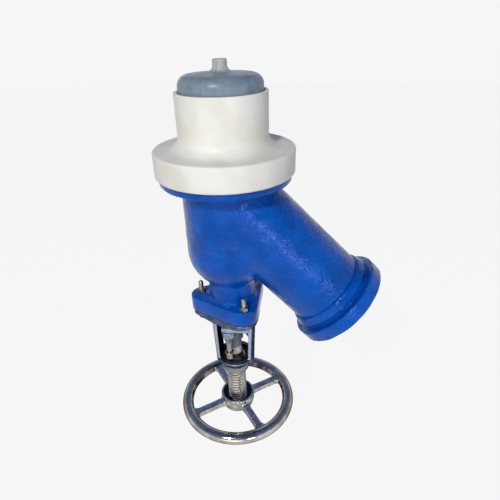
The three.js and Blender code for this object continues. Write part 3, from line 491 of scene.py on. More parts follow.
# Turns (radius, height) points about Z. A profile that misses the axis closes on itself.
def turned(name, profile, facets=128):
    points, rows, faces = [], [], []
    for radius, height in profile:
        count = 1 if radius < 1e-6 else facets
        rows.append((len(points), count))
        for i in range(count):
            angle = 2 * math.pi * i / facets
            points.append((radius * math.cos(angle), radius * math.sin(angle), height))
    closes = rows[0][1] > 1
    pairs = list(zip(rows, rows[1:] + ([rows[0]] if closes else [])))
    for (a, countA), (b, countB) in pairs:
        for i in range(facets):
            j = (i + 1) % facets
            if countA == 1:
                faces.append((a, b + j, b + i))
            elif countB == 1:
                faces.append((a + i, a + j, b))
            else:
                faces.append((a + i, a + j, b + j, b + i))
    item = toObject(name, points, faces)
    faceOutward(item)
    return item


def faceOutward(item):
    mesh = item.data
    mesh.calc_loop_triangles()
    corners = np.empty(len(mesh.vertices) * 3)
    mesh.vertices.foreach_get("co", corners)
    corners = corners.reshape(-1, 3)
    triangles = np.empty(len(mesh.loop_triangles) * 3, int)
    mesh.loop_triangles.foreach_get("vertices", triangles)
    a, b, c = (corners[triangles.reshape(-1, 3)[:, i]] for i in range(3))
    if np.einsum("ij,ij->i", a, np.cross(b, c)).sum() < 0:
        mesh.flip_normals()


# A plain rod between two heights
def rod(name, radius, top, bottom, facets=96):
    return turned(name, [(0, top), (radius, top), (radius, bottom), (0, bottom)], facets)


# An outline raised between two heights, its long edges rounded in a few steps
def raised(name, outline, top, bottom, edge=0.0, steps=3):
    count = len(outline)
    centre = Vector((sum(p[0] for p in outline) / count, sum(p[1] for p in outline) / count))
    turns = [math.pi / 2 * i / steps for i in range(steps + 1)] if edge else [math.pi / 2]
    levels = [(top - edge * (1 - math.sin(t)), edge * (1 - math.cos(t))) for t in reversed(turns)]
    levels += [(bottom + edge * (1 - math.sin(t)), edge * (1 - math.cos(t))) for t in turns]
    points, faces = [], []
    for z, pull in levels:
        for i in range(count):
            before, here, after = (Vector(outline[(i + k) % count]) for k in (-1, 0, 1))
            along = (after - before).normalized()
            inward = Vector((-along.y, along.x))
            if inward.dot(centre - here) < 0 and pull:
                inward = -inward
            shifted = here + inward * pull
            points.append((shifted.x, shifted.y, z))
    for level in range(len(levels) - 1):
        for i in range(count):
            j = (i + 1) % count
            a, b = level * count, (level + 1) * count
            faces.append((a + i, b + i, b + j, a + j))
    faces.append(tuple(range(count)))
    faces.append(tuple(reversed(range((len(levels) - 1) * count, len(levels) * count))))
    item = toObject(name, points, faces)
    faceOutward(item)
    return item


def place(item, matrix):
    item.data.transform(matrix)
    return item


def moved(item, x=0.0, y=0.0, z=0.0):
    return place(item, Matrix.Translation(Vector((x, y, z)) * mm))


def spun(item, degrees, axis="Z"):
    return place(item, Matrix.Rotation(math.radians(degrees), 4, axis))


overrun = 4.0  # how far a cutting tool reaches past what it cuts
farPast = 200.0  # size of a tool that takes off all that lies beyond a face


# Replaces an object's mesh by what its modifiers make of it
def applyModifiers(item):
    depsgraph = bpy.context.evaluated_depsgraph_get()
    mesh = bpy.data.meshes.new_from_object(item.evaluated_get(depsgraph))
    item.modifiers.clear()
    old = item.data
    item.data = mesh
    bpy.data.meshes.remove(old)
    return item


def discard(*items):
    for item in items:
        mesh = item.data
        bpy.data.objects.remove(item)
        bpy.data.meshes.remove(mesh)


# Joins, cuts or crosses solids; the tools are used up
def combine(item, operation, *tools):
    for tool in tools:
        change = item.modifiers.new("change", "BOOLEAN")
        change.operation = operation
        change.solver = "MANIFOLD"
        change.object = tool
        bpy.context.view_layer.update()
        applyModifiers(item)
        discard(tool)
    return item


# Puts several closed meshes into one object, overlapping as they are
def gather(name, items):
    points, faces = [], []
    for item in items:
        start = len(points)
        points += [v.co / mm for v in item.data.vertices]
        faces += [tuple(start + i for i in polygon.vertices) for polygon in item.data.polygons]
    discard(*items)
    return toObject(name, points, faces)


# Fuses overlapping solids into one skin and softens it as a casting: a little all over,
# and more in the inner corners, where the pattern maker runs a fillet
def castSkin(item, voxel, rounds=6, cornerRounds=0, cornerReach=6, keeps=None):
    fuse = item.modifiers.new("fuse", "REMESH")
    fuse.mode = "VOXEL"
    fuse.voxel_size = voxel * mm
    applyModifiers(item)
    mesh = item.data
    count = len(mesh.vertices)
    points = np.empty(count * 3)
    mesh.vertices.foreach_get("co", points)
    points = points.reshape(-1, 3) / mm
    edges = np.empty(len(mesh.edges) * 2, int)
    mesh.edges.foreach_get("vertices", edges)
    edges = edges.reshape(-1, 2)
    ends, others = np.concatenate([edges[:, 0], edges[:, 1]]), np.concatenate([edges[:, 1], edges[:, 0]])
    degree = np.bincount(ends, minlength=count)

    def averaged(values):
        columns = [np.bincount(ends, values[others, k], count) / degree for k in range(values.shape[1])]
        return np.stack(columns, 1)

    for _ in range(rounds):
        points += 0.6 * (averaged(points) - points)
        points -= 0.62 * (averaged(points) - points)
    if cornerRounds:
        mesh.vertices.foreach_set("co", (points * mm).ravel())
        mesh.update()
        normals = np.empty(count * 3)
        mesh.vertices.foreach_get("normal", normals)
        hollow = np.einsum("ij,ij->i", averaged(points) - points, normals.reshape(-1, 3))
        weight = np.clip((hollow / voxel - 0.02) / 0.05, 0, 1)[:, None]
        if keeps is not None:
            weight = weight * keeps(points)[:, None]
        for _ in range(cornerReach):
            weight = np.maximum(weight, averaged(weight))
            weight = 0.5 * weight + 0.5 * averaged(weight)
        weight = np.clip(weight * 1.5, 0, 1)
        for _ in range(cornerRounds):
            points += 0.6 * weight * (averaged(points) - points)
    mesh.vertices.foreach_set("co", (points * mm).ravel())
    mesh.update()
    return item


# Pushes the skin in and out by a few tenths of a millimetre, as sand castings are uneven
def unevenSkin(item, size, height, seed=0.0, keep=None):
    mesh = item.data
    offset = Vector((seed, seed * 0.7, seed * 1.3))
    normals = [vertex.normal.copy() for vertex in mesh.vertices]
    for vertex, normal in zip(mesh.vertices, normals):
        here = vertex.co / mm
        amount = height * noise.noise(here / size + offset)
        if keep:
            amount *= keep(here)
        vertex.co = (here + normal * amount) * mm
    mesh.update()
    return item


def smooth(item, angle=35.0):
    mesh = item.data
    mesh.polygons.foreach_set("use_smooth", [True] * len(mesh.polygons))
    mesh.set_sharp_from_angle(angle=math.radians(angle))
    return item


# Names what a finished piece is made of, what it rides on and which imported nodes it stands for
def finish(item, material, slot, body, *nodes):
    item.data.materials.clear()
    item.data.materials.append(materials[material])
    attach(item, body)
    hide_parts(*nodes)
    return item


# A rod with a helical ridge. The rows of points follow the helix, so crest and flanks stay crisp.
def threadedRod(name, radius, pitch, depth, top, bottom, chamfer, columns=96):
    crest, flank = 0.36, 0.17  # shares of the pitch
    profile = [(0.0, 0.0), (crest, 0.0), (crest + flank, depth), (1 - flank, depth)]
    turnsBelow = 2
    rows = int((top - bottom) / pitch) + 2 * turnsBelow
    points, faces = [], []
    perColumn = rows * len(profile)
    for column in range(columns + 1):
        lead = pitch * column / columns
        for row in range(rows):
            for share, drop in profile:
                z = bottom - turnsBelow * pitch + (row + share) * pitch + lead
                clipped = min(max(z, bottom), top)
                edge = min(top - clipped, clipped - bottom)
                reach = min(radius - drop, radius - chamfer + edge)
                if edge == 0:
                    reach = radius - max(chamfer, depth)
                angle = 2 * math.pi * column / columns
                points.append((reach * math.cos(angle), reach * math.sin(angle), clipped))
    for column in range(columns):
        a, b = column * perColumn, (column + 1) * perColumn
        for i in range(perColumn - 1):
            faces.append((a + i, b + i, b + i + 1, a + i + 1))
    mesh = bpy.data.meshes.new(name)
    mesh.from_pydata([tuple(c * mm for c in p) for p in points], [], faces)
    return closeEnds(name, mesh)


# Welds doubled points and closes the two round ends of a rod
def closeEnds(name, mesh):
    work = bmesh.new()
    work.from_mesh(mesh)
    bmesh.ops.remove_doubles(work, verts=work.verts, dist=1e-6)
    loose = [e for e in work.edges if not e.link_faces]
    bmesh.ops.delete(work, geom=loose, context="EDGES")
    open_ = [e for e in work.edges if e.is_boundary]
    bmesh.ops.holes_fill(work, edges=open_)
    bmesh.ops.recalc_face_normals(work, faces=work.faces)
    work.to_mesh(mesh)
    work.free()
    item = bpy.data.objects.new(name, mesh)
    bpy.context.scene.collection.objects.link(item)
    faceOutward(item)
    return item


# A hexagon nut with chamfered corners, standing on its lower face at z = 0
def hexNut(name, acrossFlats, height, hole, chamfer=0.35):
    corner = acrossFlats / 2 / math.cos(math.pi / 6)
    turns = [math.pi / 6 + math.pi / 3 * i for i in range(6)]
    outline = [(corner * math.cos(turn), corner * math.sin(turn)) for turn in turns]
    nut = raised(name, outline, height, 0)
    flat = acrossFlats / 2 * 0.97
    reach = corner + chamfer
    drop = (reach - flat) * math.tan(math.radians(30))
    sides = [(flat, height), (reach, height - drop), (reach, drop), (flat, 0)]
    cone = turned("cone", [(0, height), *sides, (0, 0)], 96)
    combine(nut, "INTERSECT", cone)
    return combine(nut, "DIFFERENCE", rod("hole", hole, height + 1, -1, 48))


# A flat washer with its upper face at the given height
def washer(name, inner, outer, top, bottom):
    edge = 0.2
    return turned(name, [
        (inner, bottom), (outer - edge, bottom), (outer, bottom + edge), (outer, top - edge),
        (outer - edge, top), (inner, top),
    ], 64)


# Sleeve: thick flange, wide root fillet and the spigot that goes up the tank nozzle
sleeve = {
    "rimRound": 2.5,
    "rootFillet": 15.0,
    "lipRound": 0.8,
    "mouthLip": 3.6,
    "mouthDepth": 13.0,
    "bore": 40.0,
    "spigotRadius": 50.3,
}


def makeSleeve():
    size = sleeve
    low, high = extent("nozzle_sleeve")
    outer, bottom, top = high.x, low.z, high.z
    rim, root, lip, spigot = size["rimRound"], size["rootFillet"], size["lipRound"], size["spigotRadius"]
    mouth = spigot - size["mouthLip"]
    profile = [(size["bore"], bottom)]
    profile += arcPoints(outer - rim, bottom + rim, rim, -90, 0, 6)
    profile += arcPoints(outer - rim, -rim, rim, 0, 90, 6)
    profile += arcPoints(spigot + root, root, root, 270, 180, 18)
    profile += arcPoints(spigot - lip, top - lip, lip, 0, 90, 4)
    profile += arcPoints(mouth + lip / 2, top - lip / 2, lip / 2, 90, 180, 3)
    profile += [(mouth, top - size["mouthDepth"]), (size["bore"], top - size["mouthDepth"])]
    item = smooth(turned("sleeve", profile, 192))
    finish(item, "whiteFluoropolymer", "white_fluoropolymer", "valve_body", "nozzle_sleeve")


seat = {
    "width": 6.4,
    "land": 1.0,  # flat rim outside the cone
}


def makeSeat():
    low, high = extent("seat_ring")
    outer = high.x
    inner, flat = outer - seat["width"], outer - seat["land"]
    slope = high.z - (flat - inner)
    profile = [(inner, low.z), (outer, low.z), (outer, high.z), (flat, high.z), (inner, slope)]
    item = smooth(turned("seat", profile, 128))
    finish(item, "whiteFluoropolymer", "white_fluoropolymer", "valve_body", "seat_ring")


# Plug: crowned disc with a round shoulder and the moulding's stub
plug = {
    "stubRadius": 7.7,
    "stubHeight": 12.2,
    "stubFillet": 6.5,
    "stubRound": 1.4,
    "shoulder": 11.0,
    "crownDrop": 1.8,
    "skirtZ": 57.0,
    "skirtRound": 0.4,
    "coneDrop": 7.0,
    "hubRadius": 15.0,
    "hubFillet": 6.0,
    "socketRadius": 9.8,
    "socketDepth": 24.0,
}


def makePlug():
    size = plug
    low, high = extent("plug_disc")
    outer, stubTop = high.x, high.z
    crown = stubTop - size["stubHeight"]
    stub, fillet, edge = size["stubRadius"], size["stubFillet"], size["stubRound"]
    shoulder = size["shoulder"]
    crownEdge = outer - shoulder
    coneZ = size["skirtZ"] - size["coneDrop"]
    profile = [(0, stubTop)]
    profile += arcPoints(stub - edge, stubTop - edge, edge, 90, 0, 4)
    profile += arcPoints(stub + fillet, crown + fillet, fillet, 180, 268, 8)
    profile += arcPoints(crownEdge, crown - size["crownDrop"] - shoulder, shoulder, 84, 0, 14)
    skirt, skirtZ, hub, hubFillet = size["skirtRound"], size["skirtZ"], size["hubRadius"], size["hubFillet"]
    profile += [(outer, skirtZ + skirt), (outer - skirt, skirtZ), (outer - size["coneDrop"], coneZ)]
    profile += arcPoints(hub + hubFillet, coneZ - hubFillet, hubFillet, 90, 180, 5)
    profile += [(hub, low.z), (size["socketRadius"], low.z)]
    profile += [(size["socketRadius"], low.z + size["socketDepth"]), (0, low.z + size["socketDepth"])]
    item = smooth(turned("plug", profile, 160))
    finish(item, "greyFluoropolymer", "grey_fluoropolymer", "plug_and_stem", "plug_disc")


# Stem: coated above, bare where it hangs in the screw's socket, with the groove for the pins
stem = {
    "coated": 9.5,
    "coatedEnd": -297.0,
    "coatRound": 0.8,
    "bare": 7.5,
    "groove": 5.8,
    "grooveZ": -315.0,
    "grooveHeight": 4.4,
    "tip": 1.5,
}


def makeStem():
    size = stem
    low, high = extent("plug_stem")
    coated, bare, groove, tip = size["coated"], size["bare"], size["groove"], size["tip"]
    coatedEnd, coatRound = size["coatedEnd"], size["coatRound"]
    grooveTop = size["grooveZ"] + size["grooveHeight"] / 2
    grooveBottom = size["grooveZ"] - size["grooveHeight"] / 2
    item = smooth(turned("stem", [
        (0, high.z), (coated, high.z), (coated, coatedEnd + coatRound), (coated - coatRound, coatedEnd),
        (bare, coatedEnd), (bare, grooveTop), (groove, grooveTop), (groove, grooveBottom),
        (bare, grooveBottom), (bare, low.z + tip), (bare - tip, low.z), (0, low.z),
    ], 64))
    finish(item, "shaftStainless", "turned_steel", "plug_and_stem", "plug_stem")
    item.data.materials.append(materials["coatedStem"])
    for polygon in item.data.polygons:
        polygon.material_index = 1 if polygon.center.z > (coatedEnd - 0.1) * mm else 0


makeSleeve()
makeSeat()
makePlug()
makeStem()
print("sleeve, seat, plug and stem made")

# Cast body: collar under the sleeve, barrel, round bulb, neck, three-cornered foot and slanted branch
castBody = {
    "cavity": 44.3,
    "wall": 8.0,
    "collarThickness": 7.8,
    "collarRound": 1.4,
    "collarFillet": 4.0,
    "bulbDepth": 97.0,
    "neck": 30.0,
    "neckFillet": 3.0,
    "neckBore": 20.0,
    "footTop": -198.0,
    "footEdge": 1.3,
    "footFillet": 4.0,
    "branchStart": -58.0,
    "branchAngle": 135.0,  # degrees from +Z towards +X
    "branch": 50.9,
    "hubStart": 171.0,
    "hubEnd": 180.8,
    "hubFrom": 53.8,
    "hubTo": 57.0,
    "groove": 53.6,
    "outletStart": 186.0,
    "outletEnd": 202.8,
    "outletCollar": 63.5,
    "outletRound": 1.3,
    "flareRecess": 64.3,
    "flareDepth": 3.0,
    "overlap": 3.0,  # how far parts of the casting reach into each other before they fuse
    "skinVoxel": 1.5,
    "cornerRounds": 60,
    "unevenness": [(16.0, 0.4, 3.0), (4.5, 0.2, 11.0)],  # lump size, height and seed
}

# Foot and bonnet share one outline: each side by the way it faces and its distance from the axis
foot = {
    "sides": [(244.5, 35.0), (0.0, 37.5), (118.6, 33.4)],
    "corners": [16.5, 21.0, 12.0],  # left, front and back
    "studHole": 3.8,
    "gasketInset": 2.8,
}


# The foot's outline from above: three straight sides and round corners
def footOutline(inset, steps=12):
    sides = [(math.radians(facing), reach - inset) for facing, reach in foot["sides"]]
    outline = []
    for i, corner in enumerate(foot["corners"]):
        radius = corner - inset
        (turnA, reachA), (turnB, reachB) = sides[i - 1], sides[i]
        a, b = reachA - radius, reachB - radius
        across = math.sin(turnB - turnA)
        x = (a * math.sin(turnB) - b * math.sin(turnA)) / across
        y = (b * math.cos(turnA) - a * math.cos(turnB)) / across
        sweep = (turnB - turnA) % (2 * math.pi)
        for k in range(steps + 1):
            turn = turnA + sweep * k / steps
            outline.append((x + radius * math.cos(turn), y + radius * math.sin(turn)))
    return outline


# Lower face of the foot, a hair above the gasket
def footFace():
    return extent("bonnet_gasket")[1].z + 0.3


# Tools for the three stud holes that foot, gasket and bonnet share
def studHoles(top, bottom):
    places = [middleOf("bonnet_stud_" + name) for name in ("left", "front", "back")]
    return [moved(rod("hole", foot["studHole"], top, bottom, 32), x, y) for x, y in places]


# Moves a piece drawn along +Z to the branch's axis
def onBranch(item):
    turn = Matrix.Rotation(math.radians(castBody["branchAngle"]), 4, "Y")
    return place(item, Matrix.Translation(Vector((0, 0, castBody["branchStart"])) * mm) @ turn)


# Puts extra points on the long straight stretches of a profile, so that the skin can be uneven there
def refined(profile, step=2.5):
    points = [profile[0]]
    for (r0, z0), (r1, z1) in zip(profile, profile[1:]):
        count = max(1, round(math.hypot(r1 - r0, z1 - z0) / step))
        points += [(r0 + (r1 - r0) * k / count, z0 + (z1 - z0) * k / count) for k in range(1, count + 1)]
    return points


# Barrel, bulb and neck with their fillets, then the branch, as one soft casting
def makeBarrel(top):
    size = castBody
    radius = size["cavity"] + size["wall"]
    collarBottom = top - size["collarThickness"]
    bulbZ = top - size["bulbDepth"]
    neck, neckFillet, fillet, base = size["neck"], size["neckFillet"], size["collarFillet"], size["footFillet"]
    bulbTurn = math.degrees(math.acos((neck + neckFillet) / radius))
    bulbEnd = bulbZ - math.sqrt(radius ** 2 - (neck + neckFillet) ** 2)
    inCollar, inFoot = collarBottom + size["overlap"], size["footTop"] - size["overlap"]
    trunk = turned("trunk", [(0, inCollar), (radius + fillet, inCollar)]
                   + arcPoints(radius + fillet, collarBottom - fillet, fillet, 90, 180, 6)
                   + arcPoints(0, bulbZ, radius, 0, -bulbTurn, 20)
                   + arcPoints(neck + neckFillet, bulbEnd - neckFillet, neckFillet, 120, 180, 4)
                   + arcPoints(neck + base, size["footTop"] + base, base, 180, 270, 5)
                   + [(neck + base, inFoot), (0, inFoot)])
    branch = onBranch(rod("branch", size["branch"], size["outletStart"] + overrun, 0, 128))
    combine(branch, "DIFFERENCE", rod("above", farPast, farPast, inCollar, 32))
    barrel = gather("body", [trunk, branch])

    # Only where barrel and branch meet is the inner corner run out to a wide fillet
    def openCorners(points):
        underCollar = np.clip((collarBottom - 5 - points[:, 2]) / 4, 0, 1)
        overFoot = np.clip((points[:, 2] - size["footTop"] - 6) / 4, 0, 1)
        return underCollar * overFoot

    return castSkin(barrel, size["skinVoxel"], 4, size["cornerRounds"], 7, openCorners)


# The machined or sharper parts: collar, foot, and hub, groove and collar at the outlet
def makeRings(top, collar, footBottom):
    size = castBody
    collarBottom = top - size["collarThickness"]
    rim, outletRim, collarOut = size["collarRound"], size["outletRound"], size["outletCollar"]
    start, end, groove = size["outletStart"], size["outletEnd"], size["groove"]
    ring = turned("ring", refined([(0, top), (collar - 0.6, top), (collar, top - 0.6)]
                                  + arcPoints(collar - rim, collarBottom + rim, rim, 0, -90, 4)
                                  + [(0, collarBottom)]), 192)
    hub = refined([(0, size["hubStart"] - 1), (size["branch"] - 2, size["hubStart"] - 1),
                   (size["hubFrom"] - 0.8, size["hubStart"]), (size["hubFrom"], size["hubStart"] + 0.8),
                   (size["hubTo"] - 0.3, size["hubEnd"] - 0.8), (size["hubTo"] - 0.8, size["hubEnd"]),
                   (groove, size["hubEnd"] + 0.6), (groove, start - 0.5), (groove + 0.5, start)]
                  + arcPoints(collarOut - outletRim, start + outletRim, outletRim, -90, 0, 4)
                  + arcPoints(collarOut - outletRim, end - outletRim, outletRim, 0, 90, 4) + [(0, end)], 2.0)
    outlet = onBranch(turned("outlet", hub, 192))
    plate = raised("plate", footOutline(0), size["footTop"], footBottom, size["footEdge"], 3)
    return ring, outlet, plate


def makeBody():
    size = castBody
    low, high = extent("body_casting")
    top, footBottom = high.z, footFace()
    end = size["outletEnd"]
    bulbZ = top - size["bulbDepth"]
    body = makeBarrel(top)
    ring, outlet, plate = makeRings(top, -low.x, footBottom)
    for part in (body, ring, outlet):
        for lump, height, seed in size["unevenness"]:
            unevenSkin(part, lump, height, seed)
    combine(body, "UNION", ring, outlet, plate)
    above = rod("above", farPast, top + farPast, top, 32)
    below = rod("below", size["outletCollar"], footBottom, footBottom - size["neck"], 32)
    beyond = onBranch(rod("beyond", farPast / 2, end + size["neck"], end, 32))
    cavity = size["cavity"]
    mainWay = turned("mainWay", [(0, top + overrun), (cavity, top + overrun)]
                     + arcPoints(0, bulbZ, cavity, 0, -90, 16)[:-1] + [(0, bulbZ - cavity)])
    branchWay = onBranch(rod("branchWay", cavity, end + overrun, 0, 128))
    neckWay = rod("neckWay", size["neckBore"], bulbZ, footBottom - overrun, 64)
    recess = rod("recess", size["flareRecess"], top + overrun, top - size["flareDepth"], 128)
    holes = studHoles(size["footTop"] + overrun, footBottom - overrun)
    combine(body, "DIFFERENCE", above, below, beyond, mainWay, branchWay, neckWay, recess, *holes)
    smooth(body, 35)
    finish(body, "blueEnamel", "blue_enamel", "valve_body", "body_casting")
    return end


# Lining: a thin copy of the ways, turned out over both end faces
lining = {
    "bore": 40.0,
    "outer": 44.0,
    "gap": 0.3,
    "flareThickness": 3.0,
    "topFlare": 64.0,
    "outletFlare": 55.0,
    "outletRound": 0.8,
    "neckOuter": 19.7,
    "neckInner": 15.7,
    "neckEnd": 6.0,  # above the foot's lower face
}


def makeLining(outletFace):
    size = lining
    top, footBottom = extent("body_casting")[1].z, footFace()
    bulb = top - castBody["bulbDepth"]
    gap, flare = size["gap"], size["flareThickness"]

    def ways(radius, neckRadius, topZ, branchEnd, neckEnd):
        main = turned("main", [(0, topZ), (radius, topZ)] + arcPoints(0, bulb, radius, 0, -90, 16)[:-1]
                      + [(0, bulb - radius)])
        branch = onBranch(rod("branch", radius, branchEnd, 0, 128))
        neck = rod("neck", neckRadius, bulb, neckEnd, 64)
        return [main, branch, neck]

    outletTop = outletFace + gap + flare
    shell, *outers = ways(size["outer"], size["neckOuter"], top, outletTop, footBottom + size["neckEnd"])
    reach, rim = size["outletFlare"], size["outletRound"]
    flareEdge = [(reach - rim, outletTop), (reach, outletTop - rim), (reach, outletFace + gap)]
    outletFlare = onBranch(turned("outletFlare", [(0, outletTop), *flareEdge, (0, outletFace + gap)]))
    topFlare = rod("topFlare", size["topFlare"], top, top - flare + gap, 128)
    combine(shell, "UNION", *outers, outletFlare, topFlare)
    inners = ways(size["bore"], size["neckInner"], top + overrun, outletTop + overrun, footBottom - overrun)
    combine(shell, "DIFFERENCE", *inners, rod("above", farPast, top + farPast, top, 32))
    shell.name = "lining"
    smooth(shell, 30)
    finish(shell, "whiteFluoropolymer", "white_fluoropolymer", "valve_body", "body_liner")


makeLining(makeBody())
print("body and lining made")


# Bonnet casting: flange, flared shoulder, two arms and the bowl that holds the bush
bonnet = {
    "inset": 2.0,
    "flangeThickness": 6.0,
    "flangeRound": 1.0,
    "collarTop": -238.0,
    "collarThickness": 6.6,
    # in from the +X arm and below the collar
    "gusset": [(0.0, 18.5), (0.7, 15.0), (2.1, 12.0), (3.9, 10.0), (5.3, 9.4)],
    "collarHalfX": 19.0,
    "collarHalfY": 26.0,
    "collarCorner": 3.0,
    "collarTurn": 3.0,
    "collarShift": 4.5,
    "armWidth": 27.6,
    "armTop": 29.8,
    "armBottom": 27.4,
    "shoulderDrop": 18.0,
    "shoulderFront": 24.5,  # how far the shoulder still reaches at the box collar
    "flareReach": 48.0,
    # out from the arms' top and below the flange
    "shoulder": [(16.9, 0.0), (16.4, 3.0), (15.0, 4.4), (11.0, 5.3), (6.4, 6.4), (3.2, 8.0), (1.3, 11.0),
                 (0.4, 14.0)],
    "windowTopHalf": 21.6,
    "windowBottomHalf": 19.6,
    "windowCorner": 4.0,
    "rimZ": -301.0,
    "rimRound": 1.2,
    "bowlDepth": 7.0,
    "bowlCavity": 21.5,
    "taperHeight": 15.0,
    "boss": 18.6,
    "bossRound": 0.8,
    "bossBore": 16.3,
    "stuffing": 14.9,
    "stemWay": 9.8,
    "packingTop": -223.8,
    "studHoleDepth": 9.0,  # below the flange, through the shoulder
    "glandHole": 2.8,
    "glandHoleDepth": 7.0,
    "grubZ": -319.0,
    "grubHole": 2.3,
    "skinVoxel": 0.85,
}


# The yoke's casting: milled on the flat faces of its arms and box collar, which are painted brighter as lit
# faces, painted shade on the faces that look into its window, and paler on the bowl and the boss
yokeLook = {
    "milledLitFace": "#A4AEC2",
    "milledLitFaceDepth": (0.8, 0.3),  # behind the arms' flat faces
    "rimFade": 0.8,
    "shoulderFade": 0.3,
    "oil": "#1B1917",
    "windowShadeCloud": 7.0,
    "windowShadeDepth": (0.2, 0.9),  # into the arm from the window's edge
    "windowShadeDrop": (12.0, 9.0),  # below the box collar
    "bowl": "#ABADAE",
    "bowlDrop": (6.0, 0.0),  # below the bowl's rim
    "bowlAway": (21.8, 23.0),
    "boss": "#B8B8B4",
    "bossDrop": (14.0, 11.0),
    "bossAway": (17.0, 18.0),
}


def finishYoke():
    look = yokeLook
    tree, shader, place, base = opened("yokeStainless")
    sides = [{0: pattern(tree, place, axis)} for axis in ("x", "y")]
    across, ahead = (addNode(tree, "ShaderNodeMath", None, side, operation="ABSOLUTE") for side in sides)
    high, low, face = bonnet["collarTop"], bonnet["rimZ"], bonnet["armWidth"] / 2
    overRim = pattern(tree, place, "z", low, low + look["rimFade"])
    fade = look["shoulderFade"]
    underShoulder = pattern(tree, place, "z", high - fade, high + fade, 1.0, 0.0)
    # The flat faces are milled, and painted brighter as lit faces: a painted highlight
    flat = pattern(tree, place, ahead.outputs[0], *(face - depth for depth in look["milledLitFaceDepth"]))
    base = coat(tree, base, look["milledLitFace"], flat, overRim, underShoulder)
    # Painted shade: the faces that look into the window, below the box collar, are darkened where shade falls
    limits = {"From Min": low * mm, "From Max": high * mm}
    limits.update({"To Min": bonnet["windowBottomHalf"] * mm, "To Max": bonnet["windowTopHalf"] * mm})
    height = {"Value": pattern(tree, place, "z")}
    windowHalf = addNode(tree, "ShaderNodeMapRange", limits, height).outputs["Result"]
    depths = {0: across.outputs[0], 1: windowHalf}
    depth = addNode(tree, "ShaderNodeMath", None, depths, operation="SUBTRACT").outputs[0]
    inside = pattern(tree, place, depth, *look["windowShadeDepth"], 1.0, 0.0)
    underCollar = pattern(tree, place, "z", *(high - drop for drop in look["windowShadeDrop"]), 1.0, 0.0)
    windowShadeBreakup = pattern(tree, place, look["windowShadeCloud"], 0.2, 0.6, 0.75, 1.0, detail=3)
    base = coat(tree, base, look["oil"], inside, overRim, underCollar, windowShadeBreakup)
    for part, share in (("bowl", 0.7), ("boss", 0.8)):
        below = pattern(tree, place, "z", *(low - drop for drop in look[part + "Drop"]), 1.0, 0.0)
        skin = pattern(tree, place, "away", *look[part + "Away"])
        base = coat(tree, base, look[part], below, skin, share=share)
    dress(tree, shader, base)


def roundedRectangle(halfX, halfY, corner, steps=5):
    outline = []
    for signX, signY, start in ((1, 1, 0), (-1, 1, 90), (-1, -1, 180), (1, -1, 270)):
        x, y = signX * (halfX - corner), signY * (halfY - corner)
        outline += arcPoints(x, y, corner, start, start + 90, steps)
    return outline


# The slab of the two arms with the window between them, drawn in X and Z
def armSlab(top, bottom):
    size = bonnet
    reach, half, low = size["flareReach"], size["windowTopHalf"], size["windowBottomHalf"]
    corner, sill = size["windowCorner"], size["rimZ"] + size["windowCorner"]
    slab = raised("slab", [(-reach, bottom), (reach, bottom), (reach, top), (-reach, top)],
                  size["armWidth"] / 2, -size["armWidth"] / 2)
    boxEnd = size["collarTop"] - size["collarThickness"]
    window = [(-half, size["collarTop"]), (-low, sill)]
    window += arcPoints(-low + corner, sill, corner, 180, 270, 6)[1:]
    window += arcPoints(low - corner, sill, corner, 270, 360, 6)
    window += [(half - inward, boxEnd - down) for inward, down in size["gusset"]]
    window += [(half - size["gusset"][-1][0], size["collarTop"])]
    hole = raised("window", window, size["armWidth"], -size["armWidth"])
    combine(slab, "DIFFERENCE", hole)
    return spun(slab, 90, "X")


